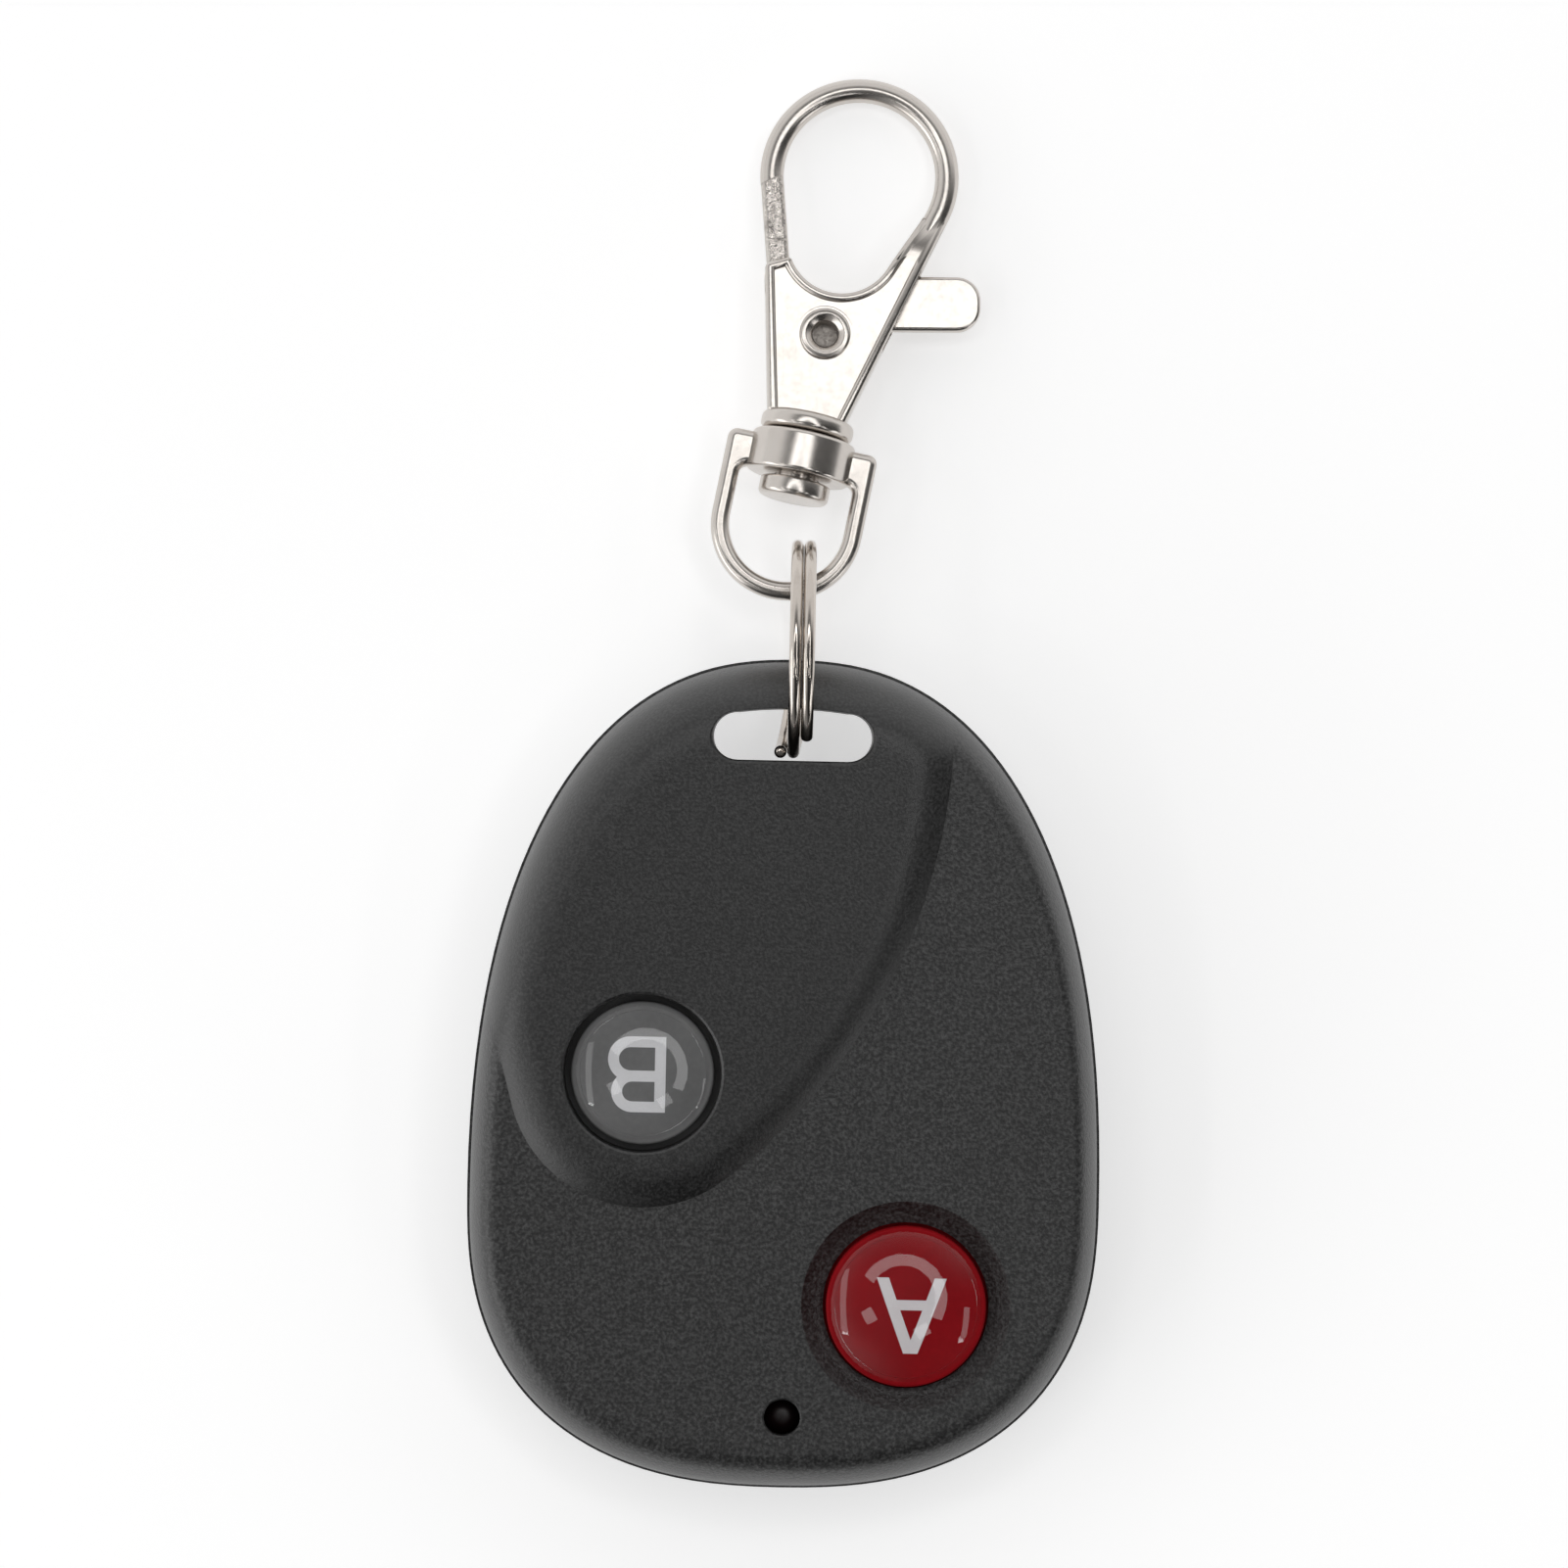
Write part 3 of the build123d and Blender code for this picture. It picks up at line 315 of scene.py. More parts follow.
class Solid:
    """Closed mesh in millimetres that other solids are joined to and cut from."""

    def __init__(self, bm: bmesh.types.BMesh) -> None:
        """Take over a bmesh, merge its doubles and turn its faces outwards.

        Args:
            bm: the bmesh, which is freed.
        """
        bmesh.ops.remove_doubles(bm, verts=bm.verts, dist=MERGE)
        bmesh.ops.recalc_face_normals(bm, faces=bm.faces)
        self.mesh = bpy.data.meshes.new("solid")
        bm.to_mesh(self.mesh)
        bm.free()

    def moved(self, matrix: Matrix) -> "Solid":
        """Place the solid in another frame and give it back."""
        self.mesh.transform(matrix)
        return self

    def _combined(self, others: tuple["Solid", ...], operation: str) -> "Solid":
        """Join or cut other solids in one go.

        Args:
            others: solids to join or to cut away.
            operation: Blender's name of the boolean operation.

        Returns:
            This solid, changed.
        """
        base = bpy.data.objects.new("base", self.mesh)
        tools = [bpy.data.objects.new("tool", other.mesh) for other in others]
        for item in [base, *tools]:
            bpy.context.scene.collection.objects.link(item)
        for tool in tools:
            step = base.modifiers.new("boolean", "BOOLEAN")
            step.operation, step.solver, step.object = operation, "MANIFOLD", tool
        result = bpy.data.meshes.new_from_object(base.evaluated_get(bpy.context.evaluated_depsgraph_get()))
        for item in [base, *tools]:
            bpy.data.objects.remove(item)
        self.mesh = result
        return self

    def cut(self, *others: "Solid") -> "Solid":
        """Cut other solids out of this one."""
        return self._combined(others, "DIFFERENCE")

    def join(self, *others: "Solid") -> "Solid":
        """Join other solids to this one."""
        return self._combined(others, "UNION")

    def soften(self, width: float, segments: int = 3, convex: bool = False, over: float = 50.0) -> "Solid":
        """Round every edge sharper than an angle.

        Args:
            width: width of the rounding.
            segments: faces across it.
            convex: whether only the edges that stand out are rounded.
            over: least angle between an edge's faces, in degrees.

        Returns:
            This solid, changed.
        """
        bm = bmesh.new()
        bm.from_mesh(self.mesh)
        bmesh.ops.remove_doubles(bm, verts=bm.verts, dist=1e-3)
        bmesh.ops.dissolve_limit(bm, angle_limit=math.radians(0.2), verts=bm.verts, edges=bm.edges)
        limit = math.radians(over)
        sharp = [e for e in bm.edges if len(e.link_faces) == 2 and e.calc_face_angle(0) > limit]
        if convex:
            sharp = [e for e in sharp if e.calc_face_angle_signed(0) > 0]
        bmesh.ops.bevel(
            bm,
            geom=sharp,
            offset=width,
            offset_type="OFFSET",
            segments=segments,
            profile=0.5,
            affect="EDGES",
            clamp_overlap=False,
            material=-1,
        )
        bm.to_mesh(self.mesh)
        bm.free()
        return self

    def piece(
        self,
        name: str,
        body: str,
        slot: str,
        finishes: list[Finish],
        replaced: str = "",
        sharp: float = 35.0,
        flat: bool = False,
    ) -> Piece:
        """Turn the solid into a finished object in metres that rides on a body.

        Args:
            name: piece name.
            body: CAD body that it moves with.
            slot: material slot of the record that it stands for; not used.
            finishes: its finishes, the first one for every face that has no other.
            replaced: CAD node that it stands for, if any.
            sharp: least angle at which an edge is shaded as sharp, in degrees.
            flat: whether large flat faces stay flat in the shading and only the roundings turn.

        Returns:
            The object, at the origin.
        """
        self.mesh.transform(Matrix.Scale(MM, 4))
        bm = bmesh.new()
        bm.from_mesh(self.mesh)
        bmesh.ops.remove_doubles(bm, verts=bm.verts, dist=1e-3 * MM)
        limit = math.radians(sharp)
        for face in bm.faces:
            face.smooth = True
        for edge in bm.edges:
            edge.smooth = len(edge.link_faces) == 2 and edge.calc_face_angle(0) < limit
        bm.to_mesh(self.mesh)
        bm.free()
        self.mesh.name = name
        self.mesh.materials.clear()
        for finish in finishes:
            self.mesh.materials.append(finish.material())
        made = bpy.data.objects.new(name, self.mesh)
        bpy.context.scene.collection.objects.link(made)
        if flat:
            weighted = made.modifiers.new("weighted_normals", "WEIGHTED_NORMAL")
            weighted.weight = 100
            weighted.keep_sharp = True
        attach(made, body)
        if replaced:
            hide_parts(replaced)
        LOG.info("%s: %d faces on %s", name, len(self.mesh.polygons), body)
        return made


def at(place: Point2, turn: float = 0.0) -> Matrix:
    """Give the frame at a place in plan, turned by degrees."""
    return Matrix.Translation((*place, 0)) @ Matrix.Rotation(math.radians(turn), 4, "Z")


def arc(centre: Point2, radius: float, start: float, end: float, steps: int) -> list[Point2]:
    """Give points along an arc, angles in degrees, both ends included."""
    angles = (math.radians(start + (end - start) * i / steps) for i in range(steps + 1))
    return [(centre[0] + radius * math.cos(a), centre[1] + radius * math.sin(a)) for a in angles]


def rounded(corners: list[Point3], steps: int = 6, closed: bool = True) -> list[Point2]:
    """Give a line through corners, each rounded to its radius.

    Args:
        corners: x, y and corner radius of each corner.
        steps: segments in each rounding.
        closed: whether the last corner runs on to the first.

    Returns:
        Points of the line.
    """
    points: list[Point2] = []
    count = len(corners)
    for index, (x, y, radius) in enumerate(corners):
        here = Vector((x, y))
        if radius == 0 or (not closed and index in (0, count - 1)):
            points.append((x, y))
            continue
        before = (Vector(corners[index - 1][:2]) - here).normalized()
        after = (Vector(corners[(index + 1) % count][:2]) - here).normalized()
        half = before.angle(after) / 2
        centre = here + (before + after).normalized() * radius / math.sin(half)
        first = here + before * radius / math.tan(half) - centre
        last = here + after * radius / math.tan(half) - centre
        points += [tuple(centre + first.slerp(last, i / steps) * radius) for i in range(steps + 1)]
    return points


def drawn_in(points: list[Point2], distance: float) -> list[Point2]:
    """Give a counterclockwise polygon with every side moved inwards.

    Args:
        points: its corners.
        distance: how far each side moves.

    Returns:
        The corners of the smaller polygon.
    """
    sides = []
    for here, following in zip(points, [*points[1:], points[0]]):
        start = Vector(here)
        way = (Vector(following) - start).normalized()
        sides.append((start + Vector((-way.y, way.x)) * distance, way))
    corners = []
    for index, (q, b) in enumerate(sides):
        p, a = sides[index - 1]
        along = ((q - p).x * b.y - (q - p).y * b.x) / (a.x * b.y - a.y * b.x)
        corners.append(tuple(p + a * along))
    return corners


def prism(points: list[Point2], low: float, high: float) -> Solid:
    """Extrude a flat outline from one height to another.

    Args:
        points: outline in plan.
        low: lower height.
        high: upper height.

    Returns:
        The closed prism.
    """
    bm = bmesh.new()
    face = bm.faces.new([bm.verts.new((x, y, low)) for x, y in points])
    raised = bmesh.ops.extrude_face_region(bm, geom=[face])["geom"]
    verts = [item for item in raised if isinstance(item, bmesh.types.BMVert)]
    bmesh.ops.translate(bm, verts=verts, vec=(0, 0, high - low))
    return Solid(bm)


def through(points: list[Point2]) -> Solid:
    """Build the tool that cuts an outline right through a piece of the clasp."""
    return prism(points, -THROUGH, THROUGH)


def stacked(rings: list[list[Point3]]) -> Solid:
    """Close a form through rings of equally many points, by extruding each ring to the next.

    Args:
        rings: points of each ring, bottom first.

    Returns:
        The closed form, with a flat face at each end.
    """
    bm = bmesh.new()
    loop = list(bmesh.ops.create_circle(bm, cap_ends=False, segments=len(rings[0]), radius=1.0)["verts"])
    first, edges = loop, list(bm.edges)
    for vert, point in zip(loop, rings[0]):
        vert.co = point
    for ring in rings[1:]:
        grown = bmesh.ops.extrude_edge_only(bm, edges=edges)["geom"]
        fresh = {v for v in grown if isinstance(v, bmesh.types.BMVert)}
        edges = [e for e in grown if isinstance(e, bmesh.types.BMEdge) and all(v in fresh for v in e.verts)]
        loop = [next(e.other_vert(v) for e in v.link_edges if e.other_vert(v) in fresh) for v in loop]
        for vert, point in zip(loop, ring):
            vert.co = point
    bm.faces.new(first)
    bm.faces.new(loop)
    return Solid(bm)


def spun(profile: list[Point2], steps: int = 96, axis: Axis = Axis.UPRIGHT, closed: bool = False) -> Solid:
    """Turn a profile about an axis.

    Args:
        profile: radius and place along the axis of each point.
        steps: faces round the axis.
        axis: axis of the piece's own frame.
        closed: whether the last point joins the first, for a piece with a bore.

    Returns:
        The closed turned solid.
    """
    bm = bmesh.new()
    along = Vector(axis.value)
    verts = [bm.verts.new(Vector((radius, 0, 0)) + along * place) for radius, place in profile]
    pairs = list(zip(verts, verts[1:]))
    if closed:
        pairs.append((verts[-1], verts[0]))
    geom = [*verts, *(bm.edges.new(pair) for pair in pairs)]
    bmesh.ops.spin(bm, geom=geom, cent=(0, 0, 0), axis=along, angle=2 * math.pi, steps=steps, use_merge=True)
    return Solid(bm)


def bend(centre: Vector, radius: float, start: float, end: float, steps: int) -> list[Station]:
    """Give a wire's stations along a level arc that it runs through clockwise.

    Args:
        centre: middle of the arc.
        radius: radius of the wire's own middle line.
        start: angle of the first station, in degrees.
        end: angle of the last station.
        steps: runs between the stations.

    Returns:
        Place, tangent and one cross direction of each station.
    """
    stations = []
    for index in range(steps + 1):
        turn = math.radians(start + (end - start) * index / steps)
        out = Vector((math.cos(turn), math.sin(turn), 0))
        stations.append((centre + out * radius, Vector((out.y, -out.x, 0)), out))
    return stations


def wire(stations: list[Station], radius: float, sides: int, chamfer: float = 0.2) -> Solid:
    """Run a round wire through stations.

    Args:
        stations: place, tangent and one cross direction of each station.
        radius: radius of the wire.
        sides: faces round it.
        chamfer: share of the radius by which its cut ends are broken.

    Returns:
        The closed wire.
    """
    step = radius * chamfer
    first, last = stations[0], stations[-1]
    sized = [(*first, 1 - chamfer), (first[0] + first[1] * step, *first[1:], 1.0)]
    sized += [(*station, 1.0) for station in stations[1:-1]]
    sized += [(last[0] - last[1] * step, *last[1:], 1.0), (*last, 1 - chamfer)]
    rings = []
    for place, way, across, share in sized:
        way = way.normalized()
        side = (across - way * across.dot(way)).normalized()
        up = way.cross(side)
        turns = (2 * math.pi * i / sides for i in range(sides))
        rings.append([tuple(place + (side * math.cos(t) + up * math.sin(t)) * radius * share) for t in turns])
    return stacked(rings)


def hull(points: list[Point3]) -> Solid:
    """Wrap points in their convex hull.

    Args:
        points: the points.

    Returns:
        The closed hull.
    """
    bm = bmesh.new()
    for point in points:
        bm.verts.new(point)
    bmesh.ops.remove_doubles(bm, verts=bm.verts, dist=MERGE)
    result = bmesh.ops.convex_hull(bm, input=bm.verts)
    loose = [v for v in result["geom_interior"] if isinstance(v, bmesh.types.BMVert)]
    bmesh.ops.delete(bm, geom=loose, context="VERTS")
    bmesh.ops.dissolve_limit(bm, angle_limit=math.radians(0.5), verts=bm.verts, edges=bm.edges)
    return Solid(bm)


def smooth_least(a: float, b: float, width: float) -> float:
    """Give the lesser of two heights, with their meeting line rounded over a width."""
    near = max(width - abs(a - b), 0) / width
    return min(a, b) - near * near * width / 4


@dataclass(frozen=True)
class EggOutline:
    """Plan of the case: half a superellipse on each side of its widest line."""

    half_width: float = 22.9
    ring_reach: float = 39.15
    blunt_reach: float = 20.85
    widest_y: float = -9.15
    ring_power: float = 2.34
    blunt_power: float = 2.43

    def ring(self, insets: Point3, share: float = 1.0, count: int = 400) -> list[Point2]:
        """Give the outline drawn in at its sides and ends.

        Args:
            insets: how far the sides, the keyring's end and the blunt end are drawn in.
            share: factor that shrinks the whole to its middle.
            count: number of points.

        Returns:
            Points in plan.
        """
        side, ring, blunt = insets
        points = []
        for index in range(count):
            angle = 2 * math.pi * index / count
            across, along = math.cos(angle), math.sin(angle)
            power = 2 / (self.ring_power if along >= 0 else self.blunt_power)
            reach = self.ring_reach - ring if along >= 0 else self.blunt_reach - blunt
            x = (self.half_width - side) * share * math.copysign(abs(across) ** power, across)
            y = reach * share * math.copysign(abs(along) ** power, along)
            points.append((x, self.widest_y + y))
        return points

    def share(self, x: float, y: float) -> float:
        """Give how near a place is to the outline.

        Args:
            x: place across the case.
            y: place along the case.

        Returns:
            0 at the middle of the widest line and 1 on the outline.
        """
        toward_ring = y >= self.widest_y
        power = self.ring_power if toward_ring else self.blunt_power
        reach = self.ring_reach if toward_ring else self.blunt_reach
        return (abs(x / self.half_width) ** power + abs((y - self.widest_y) / reach) ** power) ** (1 / power)


@dataclass
class FrontCover:
    """Upper half of the case: flanks, leaf-shaped plateau, dish, holes and keyring slot."""

    outline: EggOutline = EggOutline()
    parting: float = 7.0
    top: float = 13.4
    lower_top: float = 12.2
    wall: float = 1.3
    reveal: float = 0.2
    lip_outer: float = 0.9
    lip_inner: float = 1.7
    sweep: float = 62.7
    insets: Point3 = (2.6, 3.5, 3.6)
    flank_steps: int = 28
    top_steps: int = 124
    crease_width: float = 0.9
    foot_snap: float = 0.2
    shoulder_width: float = 1.2
    slope: float = 0.8
    hollow_end: float = 21.15
    leaf_centre: Point2 = (-10.25, 0.1)
    leaf_radius: float = 9.65
    leaf_long_radius: float = 41.8
    leaf_blend: float = -51.5
    leaf_leaving: float = 195.0
    hole_a: Point2 = (8.95, -16.2)
    hole_a_radius: float = 5.95
    dish_radius: float = 7.5
    dish_depth: float = 0.76
    dish_sag: float = 0.13
    hole_b_radius: float = 5.6
    hole_b_lip: tuple[Point2, ...] = ((0, -0.28), (0.08, -0.1), (0.28, 0.02), (0.9, 0.4))
    lamp: Point2 = (0.25, -24.4)
    lamp_radius: float = 1.3
    lamp_lip: tuple[Point2, ...] = ((0, -0.12), (0.14, 0.02), (0.5, 0.8))
    slot_half: float = 5.775
    slot_inner: float = 22.65
    slot_outer: float = 26.15
    slot_arch: float = 0.27
    slot_corner: float = 1.85
    slot_lip: tuple[Point2, ...] = ((0, -11.4), (0, -0.32), (0.09, -0.12), (0.3, 0.02), (0.9, 0.6))
    screws: tuple[Point2, Point2] = ((-11.2, -14.6), (12.0, 1.8))
    boss: tuple[Point2, ...] = ((2.2, 6.4), (2.2, 11.1), (1.0, 11.1), (1.0, 6.4))
    inside_share: float = 0.9
    edge_share: float = 0.985

    def inside_leaf(self, x: float, y: float) -> float:
        """Give how far a point lies inside the foot of the plateau.

        Args:
            x: place across the case.
            y: place along the case.

        Returns:
            The distance to the foot, below zero outside it.
        """
        here = Vector((x, y)) - Vector(self.leaf_centre)
        blend, leaving = math.radians(self.leaf_blend), math.radians(self.leaf_leaving)
        turned = math.degrees(math.atan2(here.y, here.x)) % 360
        if self.leaf_leaving <= turned <= self.leaf_blend + 360:
            return self.leaf_radius - here.length
        long_centre = Vector((math.cos(blend), math.sin(blend))) * (self.leaf_radius - self.leaf_long_radius)
        along = here.dot(Vector((math.cos(leaving), math.sin(leaving))))
        return min(self.leaf_long_radius - (here - long_centre).length, self.leaf_radius - along)

    def height(self, x: float, y: float, flank: float) -> float:
        """Give the height of the cover's top at a place.

        Args:
            x: place across the case.
            y: place along the case.
            flank: how high the flank alone would be there.

        Returns:
            The height.
        """
        rise = self.lower_top + self.inside_leaf(x, y) * self.slope
        plateau = smooth_least(rise, self.top, self.shoulder_width)
        return smooth_least(flank, max(plateau, self.lower_top), self.crease_width)

    def _crossing(self, first: bmesh.types.BMVert, last: bmesh.types.BMVert) -> float:
        """Give the share of the way between two points at which the plateau's foot lies."""
        start, end = self.inside_leaf(*first.co.xy), self.inside_leaf(*last.co.xy)
        return start / (start - end)

    def _with_foot_line(self, dome: Solid) -> Solid:
        """Cut the plateau's foot into the dome's faces, then set every point to its height.

        Args:
            dome: flanks carried up to a flat top, with nothing of the plateau yet.

        Returns:
            The dome with its plateau, creased exactly along the foot.
        """
        bm = bmesh.new()
        bm.from_mesh(dome.mesh)
        upper = self.parting + 0.1
        inside = {vert: self.inside_leaf(*vert.co.xy) for vert in bm.verts}
        snapped, to_split = {}, []
        for edge in bm.edges:
            first, last = edge.verts
            if inside[first] * inside[last] >= 0 or min(first.co.z, last.co.z) < upper:
                continue
            share = self._crossing(first, last)
            if self.foot_snap < share < 1 - self.foot_snap:
                to_split.append(edge)
            else:
                snapped[first if share < 0.5 else last] = first.co.lerp(last.co, share)
        to_split = [e for e in to_split if not any(v in snapped for v in e.verts)]
        for vert, place in snapped.items():
            vert.co = place
        bmesh.ops.bisect_edges(bm, edges=to_split, cuts=1)
        for vert in bm.verts:
            # A point with two edges is one that the split has just made
            if len(vert.link_edges) == 2:
                first, last = (e.other_vert(vert) for e in vert.link_edges)
                vert.co = first.co.lerp(last.co, self._crossing(first, last))
        on_line = [v for v in bm.verts if v.co.z > upper and abs(self.inside_leaf(*v.co.xy)) < 0.01]
        bmesh.ops.connect_verts(bm, verts=on_line)
        for vert in bm.verts:
            if vert.co.z > self.parting + MERGE:
                vert.co.z = self.height(*vert.co)
        return Solid(bm)

    def _full_rise(self) -> float:
        """Give how far the flank's curve would rise over the parting line in a quarter turn."""
        return (self.top - self.parting) / math.sin(math.radians(self.sweep))

    def _flank(
        self, angle: float, inset: float, drop: float = 0.0, share: float = 1.0, count: int = 400
    ) -> list[Point3]:
        """Give the ring round the case where its flank has turned by an angle from upright.

        Args:
            angle: the flank's turn, in radians.
            inset: how far its foot is drawn in.
            drop: how far it lies below the outer flank.
            share: factor that shrinks the ring to its middle.
            count: number of points.

        Returns:
            Points of the ring.
        """
        turned = (1 - math.cos(angle)) / (1 - math.cos(math.radians(self.sweep)))
        insets = tuple(inset + part * turned for part in self.insets)
        height = self.parting + self._full_rise() * math.sin(angle) - drop
        return [(x, y, height) for x, y in self.outline.ring(insets, share, count)]

    def _shell(self) -> Solid:
        """Build the outer form, rounded over from the flanks to the top.

        Returns:
            The solid form, with the lip that enters the rear cover.
        """
        quarter = math.pi / 2
        rings = [self._flank(quarter * i / self.flank_steps, self.reveal) for i in range(self.flank_steps + 1)]
        rings += [self._flank(quarter, self.reveal, share=1 - i / self.top_steps) for i in range(1, self.top_steps)]
        lip = prism(self.outline.ring((self.lip_outer,) * 3, count=160), self.parting - 1.0, self.parting + 0.5)
        return self._with_foot_line(stacked(rings)).join(lip)

    def _hollow(self) -> Solid:
        """Build the hollow under the cover.

        Returns:
            The hollow, which stops short of the keyring slot.
        """
        first = math.asin(self.wall / self._full_rise())
        last = math.asin((self.lower_top - self.parting) / self._full_rise())
        lip = self.outline.ring((self.lip_inner,) * 3, count=160)
        rings = [[(x, y, z) for x, y in lip] for z in (self.parting - 2, self.parting)]
        # The first ring lies a hair over the lip, so that no two rings share a height
        inset, drop = self.reveal + self.wall, self.wall - 1e-3
        rings += [self._flank(first + (last - first) * i / 12, inset, drop, count=160) for i in range(13)]
        beyond = prism([(-40, self.hollow_end), (40, self.hollow_end), (40, 60), (-40, 60)], 0, 20)
        return stacked(rings).cut(beyond)

    def _slot_ring(self, grow: float, height: float) -> list[Point3]:
        """Give the slot's outline.

        Args:
            grow: how far it is grown all round.
            height: height of its points.

        Returns:
            Points of the ring.
        """
        run = self.slot_half - self.slot_corner
        low, high = self.slot_inner - grow, self.slot_outer + grow
        middle, half, end = (low + high) / 2, (high - low) / 2, self.slot_corner + grow
        caps = []
        for x, start in ((run, -0.5), (-run, 0.5)):
            turns = (math.pi * (i / 16 + start) for i in range(17))
            caps.append([(x + end * math.cos(turn), middle + half * math.sin(turn)) for turn in turns])
        across = [run * (1 - i / 6) for i in range(1, 12)]
        arch = [(x, high + self.slot_arch * (1 - (x / run) ** 2)) for x in across]
        return [(x, y, height) for x, y in (*caps[0], *arch, *caps[1])]

    def _drill(self, edge: list[Point2], place: Point2, steps: int = 128) -> Solid:
        """Build the tool for a round hole, from the radius and height along its upper edge."""
        return spun([(0, 5), (edge[0][0], 5), *edge, (0, edge[-1][1])], steps).moved(at(place))

    def _cutters(self) -> list[Solid]:
        """Build the tools for the slot, the dish, the second button's hole and the lamp's hole.

        Returns:
            The tools.
        """
        start = Vector((self.hole_a_radius, self.lower_top - self.dish_depth))
        end = Vector((self.dish_radius, self.lower_top))
        control = (start + end) / 2 - Vector((0, 2 * self.dish_sag))
        parts = [i / 8 for i in range(9)]
        bowl = [tuple(start * (1 - t) ** 2 + 2 * control * t * (1 - t) + end * t**2) for t in parts]
        rim = [(self.dish_radius + 0.25, self.lower_top + 0.12), (self.dish_radius + 1, 15)]
        hole_b = [(self.hole_b_radius + grow, self.top + rise) for grow, rise in self.hole_b_lip]
        lamp = [(self.lamp_radius + grow, self.lower_top + rise) for grow, rise in self.lamp_lip]
        return [
            stacked([self._slot_ring(grow, self.top + rise) for grow, rise in self.slot_lip]),
            self._drill([*bowl, *rim], self.hole_a),
            self._drill(hole_b, self.leaf_centre),
            self._drill(lamp, self.lamp, 64),
        ]

    def build(self) -> Piece:
        """Build the cover, with its screw bosses, and dress each of its regions.

        Returns:
            The cover.
        """
        shell = self._shell().cut(self._hollow())
        bosses = [spun(self.boss, 40, closed=True).moved(at(screw)) for screw in self.screws]
        shell.join(*bosses).cut(*self._cutters())
        finishes = [CASE_FINE, CASE_COARSE, CASE_INSIDE]
        made = shell.piece("front_cover_shell", "case", "case_black", finishes, "front_cover", sharp=26)
        for face in made.data.polygons:
            x, y, z = face.center / MM
            outer = self.outline.share(x, y)
            if z < self.lower_top - self.wall + 0.05 and outer < self.inside_share:
                face.material_index = finishes.index(CASE_INSIDE)
            elif self.inside_leaf(x, y) < 0 or outer > self.edge_share:
                face.material_index = finishes.index(CASE_COARSE)
        return made


def letter_outlines(ink: Ink) -> list[list[Point2]]:
    """Give the outlines of a plain letter, its outer one first, in millimetres from its lower left.

    Args:
        ink: which letter.

    Returns:
        One list of points for each outline.
    """
    if ink is Ink.LETTER_A:
        lean, leg = 1.95 / 5.3, 0.852
        outer = [(0, 0), (1.95, 5.3), (2.95, 5.3), (4.9, 0), (4.9 - leg, 0), (4.9 - leg - 1.55 * lean, 1.55)]
        outer += [(leg + 1.55 * lean, 1.55), (leg, 0)]
        return [outer, [(leg + 2.25 * lean, 2.25), (4.9 - leg - 2.25 * lean, 2.25), (2.45, (2.45 - leg) / lean)]]
    lower, upper = (2.48, 1.5825), (2.33, 3.8625)
    outer = [(0, 0), *arc(lower, 1.5825, -90, 54.2, 20), *arc(upper, 1.4675, -42.8, 90, 20), (0, 5.33)]
    low_hole = [(0.77, 0.77), *arc(lower, 0.8125, -90, 90, 16), (0.77, 2.395)]
    high_hole = [(0.77, 3.165), *arc(upper, 0.6975, -90, 90, 16), (0.77, 4.56)]
    return [outer, low_hole, high_hole]


